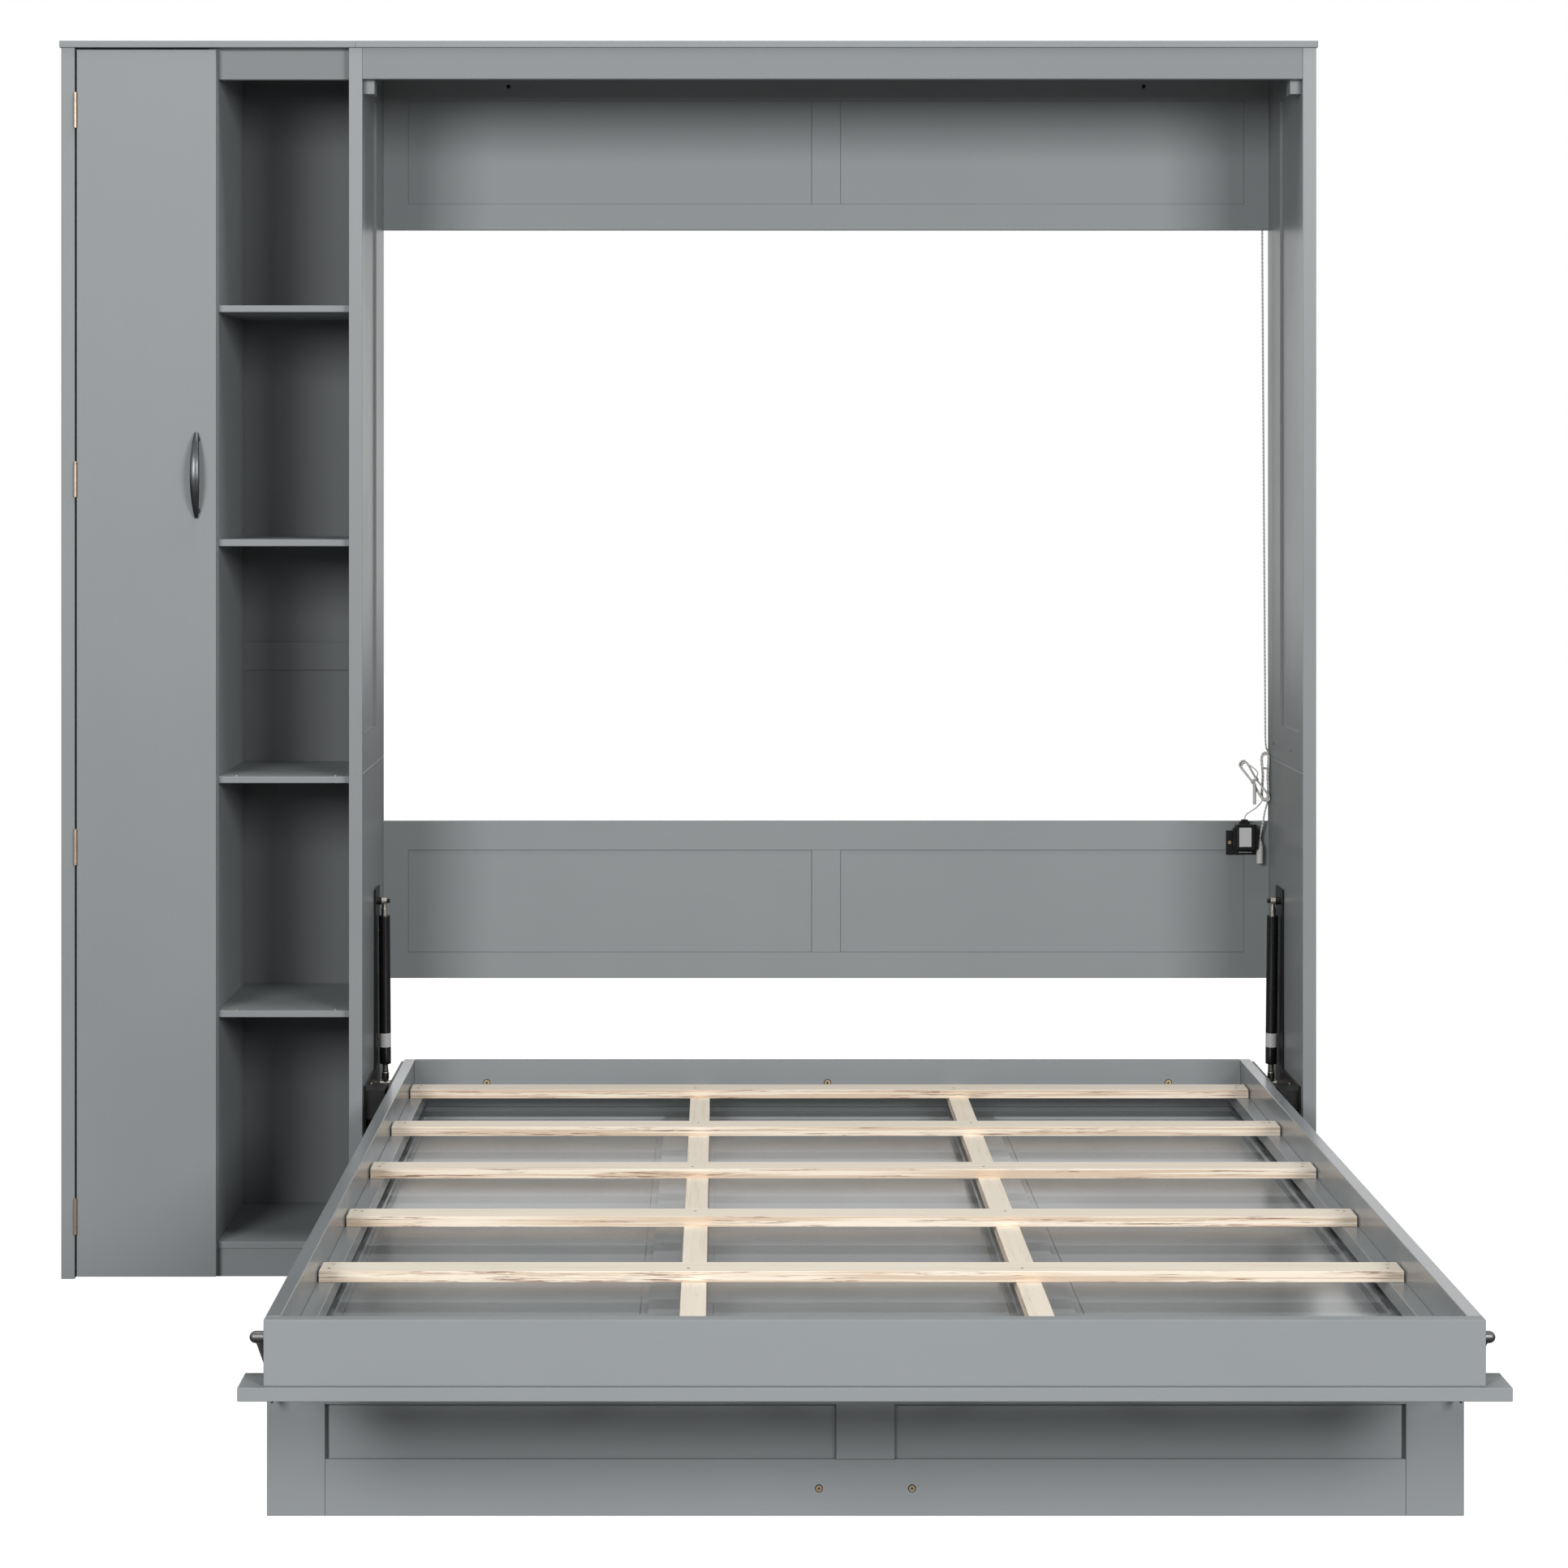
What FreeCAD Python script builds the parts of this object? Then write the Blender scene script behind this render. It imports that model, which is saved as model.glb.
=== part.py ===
import FreeCAD, Part
import math
import os
import re
import Sketcher

# Murphy wall bed with a side unit: a tall cabinet with a closet, an open shelf bay and
# a bed that swings up into the cabinet on two gas struts and stands on a folding leg.
#
# Frame: millimetres, +Z up, the room in front at -Y and the wall behind at +Y. The
# origin is the middle of the footprint, on the floor, with the bed down and the leg out.

SIZES = {
    # where the bed's centre line and the cabinet's front face lie
    "centre_x": 256, "front_y": 679.5,
    # cabinet
    "cab_depth": 412, "inner_half": 837, "side_thick": 24, "body_top": 2192,
    "top_thick": 12, "top_over": 3, "board_thick": 18, "fascia_low": 2136,
    "closet_left": 1373, "seam_height": 900, "edge_round": 1.2,
    "recess_low": 969, "recess_high": 2122, "recess_front": 48, "recess_back": 262,
    "recess_deep": 4, "groove_back": 347, "groove_wide": 1.5, "groove_deep": 1,
    # closet door and shelf bay
    "door_left": 1345.5, "door_right": 1097.2, "door_thick": 20, "door_low": 4,
    "door_high": 2188.5, "bay_left": 1096, "closet_back_y": 366, "closet_back_thick": 12,
    "floor_low": 50, "shelf_thick": 12, "shelf_pitch": 418, "shelf_drop": 5, "batten_low": 1064.5,
    "batten_high": 1117, "batten_thick": 4,
    # framed boards at the back of the bed cabinet
    "back_high_low": 1894, "back_low_low": 481, "back_low_high": 777, "frame_stile": 48,
    "frame_rail": 49, "frame_top_rail": 54, "centre_half": 27, "panel_recess": 2.5,
    "wall_hole_radius": 4, "wall_hole_half": 600, "wall_hole_height": 2165,
    # stop blocks behind the fascia
    "stop_wide": 20, "stop_low": 2111, "stop_front": 18.5, "stop_deep": 40,
    # bed box: distances along the bed are from the foot board's front face
    "bed_half": 790, "bed_long": 2086, "foot_reach": 1763, "rail_low": 253.5,
    "rail_high": 339.5, "rail_thick": 20, "foot_thick": 22, "cleat_side": 24,
    "slat_top": 305, "slat_thick": 16, "slat_wide": 60, "slat_first": 442,
    "slat_pitch": 377.3, "slat_end_gap": 2, "long_slat_wide": 36, "long_slat_centre": 237,
    # face of the bed, which closes the cabinet when the bed is up
    "face_low": 235.5, "face_half": 823, "plank_proud": 8, "plank_deep": 79,
    "face_start": 322, "face_stile": 80, "face_head_rail": 123, "mid_stile_centre": 261,
    "panel_low": 240, "panel_thick": 9, "bead_inset": 11, "bead_wide": 1.6, "bead_deep": 1.6,
    # folding leg
    "leg_front": 298.5, "leg_thick": 17.5, "leg_top": 231, "leg_rail": 78,
    "leg_top_rail": 77, "leg_centre_half": 40.5, "leg_panel_thick": 6,
    "leg_panel_recess": 6, "leg_groove_wide": 5, "leg_groove_deep": 4,
    "leg_axis_along": 319.5, "leg_axis_height": 232,
    # bed pivot
    "pivot_y": 61, "pivot_height": 296.5, "pivot_radius": 8, "run_clear": 0.08,
    "plate_thick": 4, "plate_front": 22, "plate_back": 290, "plate_strip": 212,
    "plate_low": 250, "plate_step": 340, "plate_high": 668, "block_front": 27,
    "block_back": 95, "block_low": 262, "block_high": 331, "block_inner": 800,
    "bracket_thick": 4, "bracket_start": 1784, "bracket_end": 2062, "bracket_low": 260,
    # gas struts
    "strut_x": 820, "strut_top_y": 240, "strut_top_height": 645, "strut_low_y": 262,
    "strut_low_height": 305, "strut_radius": 10.5, "strut_tube": 277, "strut_rod": 5,
    "strut_stud": 4, "strut_eye": 7, "strut_eye_half": 4.5, "strut_neck": 27,
    "strut_stroke": 236,
    # stays between the bed's sides and the leg
    "stay_x": 804, "stay_top_along": 73, "stay_top_height": 300, "stay_low_along": 275,
    "stay_low_height": 180, "stay_radius": 7, "stay_tube": 122, "stay_rod": 3,
    "stay_eye": 8, "stay_eye_half": 6, "stay_stroke": 42,
    # hinges
    "barrel_radius": 3, "leaf_thick": 1.5, "hinge_pin": 1.2, "hinge_long": 63.5,
    "leg_hinge_long": 76, "knuckle_gap": 0.3, "closet_axis_x": 1347.25,
    "closet_axis_out": 3.2,
    # handles
    "handle_height": 1431, "handle_x": 1132, "handle_pitch": 128, "handle_half": 75,
    "handle_proud": 30, "handle_tip": 7, "handle_slim": 3.4, "handle_wide": 17,
    "handle_thick": 8, "handle_boss": 6.5, "leg_handle_height": 38,
    # adaptor on the lower back board
    "adaptor_left": 771, "adaptor_right": 809, "adaptor_low": 724, "adaptor_high": 774,
    "adaptor_deep": 24, "adaptor_plate": 3, "ear_left": 755, "ear_right": 820,
    "ear_low": 714.5, "ear_high": 760,
}
HINGE_HEIGHTS = (111.5, 769, 1423.5, 2080.5)
LEG_HINGE_PLACES = (-600, 0, 600)
KNUCKLES = 5

V = FreeCAD.Vector
DOC = FreeCAD.newDocument("murphy_wall_bed")
NODES = []


def size(name):
    """The plain number of one driving dimension."""
    return float(SIZES[name])


def write_sheet():
    """The driving dimensions, one row each, with their names as aliases."""
    sheet = DOC.addObject("Spreadsheet::Sheet", "Sizes")
    for row, (name, value) in enumerate(SIZES.items(), start=1):
        sheet.set(f"A{row}", name)
        sheet.set(f"B{row}", str(value))
        sheet.setAlias(f"B{row}", name)
    DOC.recompute()


def bound(text):
    """An expression in which every dimension's name points at its cell."""
    def cell(found):
        word = found.group()
        return "Sizes." + word if word in SIZES else word
    return re.sub(r"[a-z]\w*", cell, str(text))


def place(thing, x, y, z):
    """Binds an object's position to expressions."""
    for letter, text in (("x", x), ("y", y), ("z", z)):
        thing.setExpression("Placement.Base." + letter, bound(text))
    return thing


def node(thing, label):
    """Marks an object as a sub-part and names it."""
    thing.Label = label
    NODES.append(thing)
    return thing


def block(x, y, z, name="blank"):
    """A box between two limits along each axis; the limits are expressions."""
    box = DOC.addObject("Part::Box", name)
    for side, (low, high) in (("Length", x), ("Width", y), ("Height", z)):
        box.setExpression(side, bound(f"({high}) - ({low})"))
    return place(box, x[0], y[0], z[0])


def round_edges(base, radius="edge_round", edges=None):
    """Rounds the named edges of an object, or all of them."""
    DOC.recompute()
    rounded = DOC.addObject("Part::Fillet", "rounded")
    rounded.Base = base
    numbers = edges or range(1, len(base.Shape.Edges) + 1)
    value = size(radius) if isinstance(radius, str) else radius
    rounded.Edges = [(number, value, value) for number in numbers]
    return rounded


def board(x, y, z, radius="edge_round"):
    """A board: a box with softened edges."""
    return round_edges(block(x, y, z), radius)


def rod(radius, length, x, y, z, along):
    """A cylinder from a point, along a direction."""
    bar = DOC.addObject("Part::Cylinder", "rod")
    bar.setExpression("Radius", bound(radius))
    bar.setExpression("Height", bound(length))
    bar.Placement = FreeCAD.Placement(V(), FreeCAD.Rotation(V(0, 0, 1), V(*along)))
    return place(bar, x, y, z)


def fuse(*pieces):
    """One solid made of overlapping pieces."""
    joined = DOC.addObject("Part::MultiFuse", "joined")
    joined.Shapes = list(pieces)
    joined.Refine = True
    return joined


def group(*pieces):
    """Separate solids kept in one sub-part."""
    if len(pieces) == 1:
        return pieces[0]
    several = DOC.addObject("Part::Compound", "several")
    several.Links = list(pieces)
    return several


def cut(base, *tools):
    """A base with every tool taken away."""
    result = DOC.addObject("Part::Cut", "cut_piece")
    result.Base = base
    result.Tool = group(*tools)
    result.Refine = True
    return result


def outline_body(name, plane, corners, thickness, shift):
    """A plate padded from a closed outline whose corners are bound to the sheet."""
    body = DOC.addObject("PartDesign::Body", name)
    sketch = body.newObject("Sketcher::SketchObject", name + "_outline")
    origin = [one for one in body.Origin.OriginFeatures if one.Role == plane][0]
    sketch.AttachmentSupport = (origin, [""])
    sketch.MapMode = "FlatFace"
    count = len(corners)
    points = [V(*[eval_number(text) for text in corner], 0) for corner in corners]
    for index in range(count):
        line = Part.LineSegment(points[index], points[(index + 1) % count])
        sketch.addGeometry(line, False)
    for index in range(count):
        sketch.addConstraint(Sketcher.Constraint("Coincident", index, 2, (index + 1) % count, 1))
    for index, corner in enumerate(corners):
        for kind, text, value in zip(("DistanceX", "DistanceY"), corner, points[index]):
            number = sketch.addConstraint(Sketcher.Constraint(kind, -1, 1, index, 1, value))
            sketch.setExpression(f"Constraints[{number}]", bound(text))
    pad = body.newObject("PartDesign::Pad", name + "_pad")
    pad.Profile = sketch
    pad.setExpression("Length", bound(thickness))
    return place(body, *shift)


def eval_number(text):
    """The value of a sum or difference of named dimensions and plain numbers."""
    total = 0.0
    for sign, word in re.findall(r"([+-]?)\s*([\w.]+)", str(text)):
        value = size(word) if word in SIZES else float(word)
        total += -value if sign == "-" else value
    return total


def across(side, inner, outer):
    """X limits of a piece that lies between two distances from the bed's centre line."""
    if side > 0:
        return f"centre_x + {inner}", f"centre_x + {outer}"
    return f"centre_x - ({outer})", f"centre_x - ({inner})"


def behind(near, far):
    """Y limits measured back from the cabinet's front face."""
    return f"front_y + {near}", f"front_y + {far}"


def along(near, far):
    """Y limits measured along the bed from the foot board's front face."""
    return f"front_y - foot_reach + {near}", f"front_y - foot_reach + {far}"


# ---------------------------------------------------------------- cabinet

def bed_side_panel(side):
    """A side panel of the bed cabinet, in two lengths, with a panel sunk in its inner face."""
    span = across(side, "inner_half", "inner_half + side_thick")
    depth = behind(0, "cab_depth")
    upper = board(span, depth, ("seam_height", "body_top"))
    lower = board(span, depth, (0, "seam_height"))
    sunk = across(side, "inner_half - 1", "inner_half + recess_deep")
    slot = across(side, "inner_half - 1", "inner_half + groove_deep")
    panel = block(sunk, behind("recess_front", "recess_back"), ("recess_low", "recess_high"))
    line = behind("groove_back", "groove_back + groove_wide")
    name = "right_side" if side > 0 else "divider"
    node(cut(upper, panel, block(slot, line, ("seam_height - 1", "body_top + 1"))), name + "_upper")
    node(cut(lower, block(slot, line, (-1, "seam_height + 1"))), name + "_lower")


def closet_unit():
    """The outer side, the partition, the floor, the kick board and the back of the side unit."""
    left = ("centre_x - closet_left", "centre_x - closet_left + side_thick")
    node(board(left, behind(0, "cab_depth"), (0, "body_top")), "closet_side")
    wall = ("centre_x - bay_left - board_thick", "centre_x - bay_left")
    inside = behind("door_thick", "closet_back_y")
    node(board(wall, inside, ("floor_low + shelf_thick", "body_top")), "closet_partition")
    bay = ("centre_x - bay_left", "centre_x - inner_half - side_thick")
    unit = ("centre_x - closet_left + side_thick", "centre_x - inner_half - side_thick")
    node(board(unit, inside, ("floor_low", "floor_low + shelf_thick")), "unit_floor")
    kick = behind("door_thick + 2", "door_thick + 2 + board_thick")
    node(board(unit, kick, (0, "floor_low")), "kick_board")
    for number in range(4):
        drop = "shelf_drop" if number < 2 else 0
        top = f"floor_low + shelf_thick + {number + 1} * shelf_pitch - {drop}"
        shelf = board(bay, inside, (f"{top} - shelf_thick", top))
        node(shelf, f"bay_shelf_{number + 1}")
    brow = behind("door_thick", "door_thick + board_thick")
    node(board(bay, brow, ("fascia_low + 1", "body_top")), "fascia_shelves")
    sheet = block(unit, behind("closet_back_y", "closet_back_y + closet_back_thick"), (0, "body_top"))
    worn = behind("closet_back_y - 1", "closet_back_y + batten_thick")
    low = block(unit, worn, ("floor_low + shelf_thick", "batten_low"))
    high = block(unit, worn, ("batten_high", "fascia_low"))
    node(cut(sheet, low, high), "closet_back")


def tops_and_fascia():
    """The two top boards, the fascia over the bed and the blocks that stop the bed."""
    depth = behind("0 - top_over", "cab_depth")
    height = ("body_top", "body_top + top_thick")
    joint = "centre_x - inner_half - side_thick / 2"
    node(board(("centre_x - closet_left - top_over", joint), depth, height), "top_board_closet")
    end = "centre_x + inner_half + side_thick + top_over"
    node(board((joint, end), depth, height), "top_board_bed")
    opening = ("centre_x - inner_half", "centre_x + inner_half")
    node(board(opening, behind(0, "board_thick"), ("fascia_low", "body_top")), "fascia_bed")
    stops = []
    for side in (-1, 1):
        span = across(side, "inner_half - stop_wide", "inner_half")
        deep = behind("stop_front", "stop_front + stop_deep")
        stops.append(board(span, deep, ("stop_low", "body_top")))
    node(group(*stops), "stop_blocks")


def back_board(label, low, high, bottom_rail, top_rail, holes):
    """A framed board between the side panels; two sunk panels beside a centre stile."""
    opening = ("centre_x - inner_half", "centre_x + inner_half")
    plain = board(opening, behind("cab_depth - board_thick", "cab_depth"), (low, high))
    face = behind("cab_depth - board_thick - 1", "cab_depth - board_thick + panel_recess")
    tools = []
    for side in (-1, 1):
        span = across(side, "centre_half", "inner_half - frame_stile")
        tools.append(block(span, face, (f"{low} + {bottom_rail}", f"{high} - {top_rail}")))
        if holes:
            tools.append(rod("wall_hole_radius", "board_thick + 4", f"centre_x + {side} * wall_hole_half",
                             "front_y + cab_depth - board_thick - 2", "wall_hole_height", (0, 1, 0)))
    node(cut(plain, *tools), label)


def pivot_plates():
    """Steel plates on the cabinet's sides, with the bearing block and the strut's stud."""
    plates = []
    for side in (-1, 1):
        inner = "centre_x + inner_half - plate_thick" if side > 0 else "centre_x - inner_half"
        corners = [("plate_front", "plate_low"), ("plate_back", "plate_low"), ("plate_back", "plate_high"),
                   ("plate_strip", "plate_high"), ("plate_strip", "plate_step"), ("plate_front", "plate_step")]
        name = "plate_right" if side > 0 else "plate_left"
        plate = outline_body(name, "YZ_Plane", corners, "plate_thick", (inner, "front_y", 0))
        nose = [("block_front + 18", "block_low"), ("block_back", "block_low"), ("block_back", "block_high"),
                ("block_front", "block_high"), ("block_front", "block_low + 18")]
        near = "centre_x + block_inner" if side > 0 else "centre_x - inner_half + plate_thick - 0.5"
        bearing = outline_body("bearing_right" if side > 0 else "bearing_left", "YZ_Plane", nose,
                               "inner_half - plate_thick + 0.5 - block_inner", (near, "front_y", 0))
        stud = rod("strut_stud", "inner_half - plate_thick + 11 - strut_x",
                   f"centre_x + {side} * (strut_x - 10)", "front_y + strut_top_y", "strut_top_height",
                   (side, 0, 0))
        collar = rod("strut_eye", "inner_half - plate_thick - strut_x - strut_eye_half - 1 + 1.5",
                     f"centre_x + {side} * (strut_x + strut_eye_half + 1)",
                     "front_y + strut_top_y", "strut_top_height", (side, 0, 0))
        bore = rod("pivot_radius + run_clear", "inner_half - block_inner - 2",
                   f"centre_x + {side} * (block_inner - 1)", "front_y + pivot_y", "pivot_height", (side, 0, 0))
        plates.append(cut(fuse(plate, bearing, stud, collar), bore))
    node(group(*plates), "pivot_plates")


def disc(radius, x, y, z, toward):
    """A low screw head that stands on a face."""
    return rod(radius, 1.2, x, y, z, toward)


def cabinet_screws():
    """Screw heads on the pivot plates, the adaptor's ears and the shelves' front edges."""
    heads = []
    for side in (-1, 1):
        x = f"centre_x + {side} * (inner_half - plate_thick)"
        for y, z in ((270, 390), (270, 505), (270, 585), (250, 268), (125, 325), (125, 268), (190, 268)):
            heads.append(disc(4.5, x, f"front_y + {y}", z, (-side, 0, 0)))
    plate_front = "front_y + cab_depth - board_thick - adaptor_plate"
    for x in ("ear_left + 6.5", "ear_right - 5.5"):
        heads.append(disc(3.2, f"centre_x + {x}", plate_front, 737.5, (0, -1, 0)))
    for number in (0, 1):
        height = f"floor_low + shelf_thick + {number + 1} * shelf_pitch - shelf_drop"
        for x in ("bay_left - 31", "inner_half + side_thick + 27"):
            heads.append(disc(3, f"centre_x - ({x})", "front_y + door_thick + 12", height, (0, 0, 1)))
    node(group(*heads), "cabinet_screws")


# ---------------------------------------------------------------- hinges

def hinge_half(length, offset, reach, odd, turn, frame, spot):
    """
    Half of a butt hinge. Its barrel lies on the local Z axis, centred on the origin, and
    its leaf is parallel to local Y. The odd half has the pin, the even half a bore.
    """
    near = "barrel_radius + knuckle_gap"
    lane = (offset, f"{offset} + leaf_thick")
    foot = f"0 - {length} / 2"
    pieces = [block(lane, (near, reach), (foot, f"{length} / 2"))]
    for number in range(KNUCKLES):
        if (number % 2 == 0) == odd:
            low = f"{foot} + {number} * {length} / {KNUCKLES} + knuckle_gap / 2"
            tall = f"{length} / {KNUCKLES} - knuckle_gap"
            pieces.append(rod("barrel_radius", tall, 0, 0, low, (0, 0, 1)))
            pieces.append(block(lane, (0, f"{near} + 0.5"), (low, f"{low} + {tall}")))
    if odd:
        half = fuse(*pieces, rod("hinge_pin", length, 0, 0, foot, (0, 0, 1)))
    else:
        half = cut(fuse(*pieces), rod("hinge_pin + run_clear", f"{length} + 2", 0, 0, f"{foot} - 1", (0, 0, 1)))
    spin = FreeCAD.Rotation(V(0, 0, 1), turn)
    half.Placement = FreeCAD.Placement(V(), frame.multiply(spin))
    return place(half, *spot)


def closet_hinges():
    """Four butt hinges on the closet door's left edge."""
    frame_leaves, door_leaves = [], []
    upright = FreeCAD.Rotation()
    for height in HINGE_HEIGHTS:
        spot = ("centre_x - closet_axis_x", "front_y - closet_axis_out", height)
        frame_leaves.append(hinge_half("hinge_long", "0 - leaf_thick - 0.25", 20, True, 0, upright, spot))
        door_leaves.append(hinge_half("hinge_long", "0.25", 20, False, 0, upright, spot))
    node(group(*frame_leaves), "closet_hinge_frame_leaves")
    node(group(*door_leaves), "closet_hinge_door_leaves")


def leg_hinges():
    """Three butt hinges between the face of the bed and the back of the leg."""
    bed_leaves, leg_leaves = [], []
    lying = FreeCAD.Rotation(V(0, 1, 0), V(0, 0, 1), V(1, 0, 0), "ZXY")
    standing_off = "face_low - leg_axis_height"
    for place_x in LEG_HINGE_PLACES:
        spot = (f"centre_x + {place_x}", "front_y - foot_reach + leg_axis_along", "leg_axis_height")
        bed_leaves.append(hinge_half("leg_hinge_long", f"0 - ({standing_off})", 26, True, -90, lying, spot))
        leg_leaves.append(hinge_half("leg_hinge_long", f"{standing_off} - leaf_thick", 26, False, 180,
                                     lying, spot))
    node(group(*bed_leaves), "leg_hinge_bed_leaves")
    node(group(*leg_leaves), "leg_hinge_leg_leaves")


# ---------------------------------------------------------------- door and handles

def bow_handle(label, x, y, z, lengthwise, outward):
    """
    A bow handle: a lens-shaped bar that bulges at its middle, on two posts. It is made
    along local X with its outward side at local +Z, and then turned into place.
    """
    half = size("handle_half")
    rise = size("handle_proud") - size("handle_tip")
    crown = size("handle_proud") - size("handle_thick") / 2
    bend = (half ** 2 + rise ** 2) / (2 * rise)
    widest = math.asin(half / bend)
    stations = []
    for step in range(-4, 5):
        share = step / 4
        angle = widest * share
        ring = DOC.addObject("Part::Ellipse", "ring")
        swell = math.cos(share * math.pi / 2) ** 0.8 if abs(share) < 1 else 0
        ring.setExpression("MajorRadius", bound(f"handle_slim + {swell} * (handle_wide / 2 - handle_slim)"))
        grown = f"{swell} * (handle_thick / 2 - handle_slim + 0.4)"
        ring.setExpression("MinorRadius", bound(f"handle_slim - 0.4 + {grown}"))
        centre = V(bend * math.sin(angle), 0, crown - bend * (1 - math.cos(angle)))
        tangent = V(math.cos(angle), 0, -math.sin(angle))
        ring.Placement = FreeCAD.Placement(centre, FreeCAD.Rotation(V(0, 1, 0), V(), tangent, "ZXY"))
        stations.append(ring)
    bar = DOC.addObject("Part::Loft", "bar")
    bar.Sections = stations
    bar.Solid = True
    posts = []
    for side in (-1, 1):
        offset = size("handle_pitch") / 2
        angle = math.asin(offset / bend)
        post = DOC.addObject("Part::Cone", "post")
        post.setExpression("Radius1", bound("handle_boss"))
        post.setExpression("Radius2", bound("handle_boss - 2.3"))
        post.Height = crown - bend * (1 - math.cos(angle))
        post.Placement.Base = V(side * offset, 0, 0)
        posts.append(post)
    handle = fuse(bar, *posts)
    turn = FreeCAD.Rotation(V(*lengthwise), V(), V(*outward), "ZXY")
    handle.Placement = FreeCAD.Placement(V(), turn)
    place(handle, x, y, z)
    node(handle, label)


def closet_door():
    """The closet's door and its handle."""
    span = ("centre_x - door_left", "centre_x - door_right")
    node(board(span, behind(0, "door_thick"), ("door_low", "door_high")), "closet_door")
    bow_handle("door_handle", "centre_x - handle_x", "front_y", "handle_height", (0, 0, 1), (0, -1, 0))


# ---------------------------------------------------------------- bed

def bed_box():
    """Rails, foot board, head board, cleats and slats."""
    height = ("rail_low", "rail_high")
    for side, name in ((-1, "bed_rail_left"), (1, "bed_rail_right")):
        span = across(side, "bed_half - rail_thick", "bed_half")
        node(board(span, along("foot_thick", "bed_long"), height), name)
    full = ("centre_x - bed_half", "centre_x + bed_half")
    node(board(full, along(0, "foot_thick"), height), "bed_foot_board")
    inner = ("centre_x - bed_half + rail_thick", "centre_x + bed_half - rail_thick")
    node(board(inner, along("bed_long - rail_thick", "bed_long"), height), "bed_head_board")
    rest = "slat_top - slat_thick"
    cleats = []
    for side in (-1, 1):
        span = across(side, "bed_half - rail_thick - cleat_side", "bed_half - rail_thick")
        cleats.append(board(span, along("foot_thick", "bed_long - rail_thick"),
                            (f"{rest} - cleat_side", rest)))
    node(group(*cleats), "bed_cleats")
    slats = []
    reach = "bed_half - rail_thick - slat_end_gap"
    for number in range(5):
        near = f"slat_first + {number} * slat_pitch"
        slats.append(board((f"centre_x - ({reach})", f"centre_x + {reach}"),
                           along(near, f"{near} + slat_wide"), (rest, "slat_top")))
    node(group(*slats), "cross_slats")
    lengthwise = []
    for side in (-1, 1):
        span = across(side, "long_slat_centre - long_slat_wide / 2", "long_slat_centre + long_slat_wide / 2")
        lengthwise.append(board(span, along("foot_thick", "bed_long - rail_thick"),
                                (f"{rest} - slat_thick", rest)))
    node(group(*lengthwise), "long_slats")


def bed_face():
    """The plank at the foot and the framed, three-panelled face behind the leg."""
    thick = ("face_low", "rail_low")
    full = ("centre_x - face_half", "centre_x + face_half")
    plank = board(full, along("0 - plank_proud", "plank_deep - plank_proud"), thick)
    node(plank, "face_plank")
    blank = board(full, along("face_start", "bed_long"), thick)
    near, far = "face_start + face_stile", "bed_long - face_head_rail"
    edge = "face_half - face_stile"
    mid = "mid_stile_centre"
    spans = ((f"0 - ({edge})", f"0 - {mid} - face_stile / 2"),
             (f"0 - {mid} + face_stile / 2", f"{mid} - face_stile / 2"),
             (f"{mid} + face_stile / 2", edge))
    openings, panels = [], []
    for low, high in spans:
        x = (f"centre_x + {low}", f"centre_x + {high}")
        openings.append(block(x, along(near, far), ("face_low - 1", "rail_low + 1")))
        sheet = block(x, along(near, far), ("panel_low", "panel_low + panel_thick"))
        beads = []
        top = "panel_low + panel_thick"
        for level in ((f"{top} - bead_deep", f"{top} + 1"), ("panel_low - 1", "panel_low + bead_deep")):
            ring = block((f"{x[0]} + bead_inset", f"{x[1]} - bead_inset"),
                         along(f"{near} + bead_inset", f"{far} - bead_inset"), level)
            inset = "bead_inset + bead_wide"
            core = block((f"{x[0]} + {inset}", f"{x[1]} - ({inset})"),
                         along(f"{near} + {inset}", f"{far} - ({inset})"),
                         (f"{level[0]} - 1", f"{level[1]} + 1"))
            beads.append(cut(ring, core))
        panels.append(cut(sheet, *beads))
    node(cut(blank, *openings), "face_frame")
    node(group(*panels), "face_panels")


def bed_hardware():
    """Brackets with the pivot pins and strut studs, screw heads, and the stays' studs."""
    brackets, heads, studs = [], [], []
    pivot_along = "foot_reach + pivot_y"
    for side in (-1, 1):
        plate = board(across(side, "bed_half", "bed_half + bracket_thick"),
                      along("bracket_start", "bracket_end"), ("bracket_low", "rail_high"), 1.0)
        out = f"centre_x + {side} * (bed_half + bracket_thick - 1)"
        pin = rod("pivot_radius", "inner_half - plate_thick - bed_half - bracket_thick", out,
                  f"front_y - foot_reach + {pivot_along}", "pivot_height", (side, 0, 0))
        stud = rod("strut_stud + 1", "strut_x - 11.5 - bed_half - bracket_thick + 1", out,
                   "front_y + strut_low_y", "strut_low_height", (side, 0, 0))
        brackets.append(fuse(plate, pin, stud))
        for distance, height in ((1800, 275), (1800, 325), (1900, 275), (1900, 325), (2045, 275)):
            x = f"centre_x + {side} * (bed_half + bracket_thick)"
            heads.append(disc(4.5, x, f"front_y - foot_reach + {distance}", height, (side, 0, 0)))
        base = rod(7, 4, f"centre_x + {side} * bed_half",
                   "front_y - foot_reach + stay_top_along", "stay_top_height", (side, 0, 0))
        stud = rod("strut_stud", "stay_x + stay_eye_half - 0.5 - bed_half",
                   f"centre_x + {side} * (bed_half + 0.5)", "front_y - foot_reach + stay_top_along",
                   "stay_top_height", (side, 0, 0))
        studs.append(fuse(base, stud))
    for x in (-635, 0, 635):
        heads.append(disc(5.5, f"centre_x + {x}", "front_y - foot_reach + bed_long - rail_thick",
                          "slat_top - 6.5", (0, -1, 0)))
    node(group(*brackets), "bed_brackets")
    node(group(*heads), "bed_screws")
    node(group(*studs), "stay_studs")


# ---------------------------------------------------------------- leg

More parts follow.
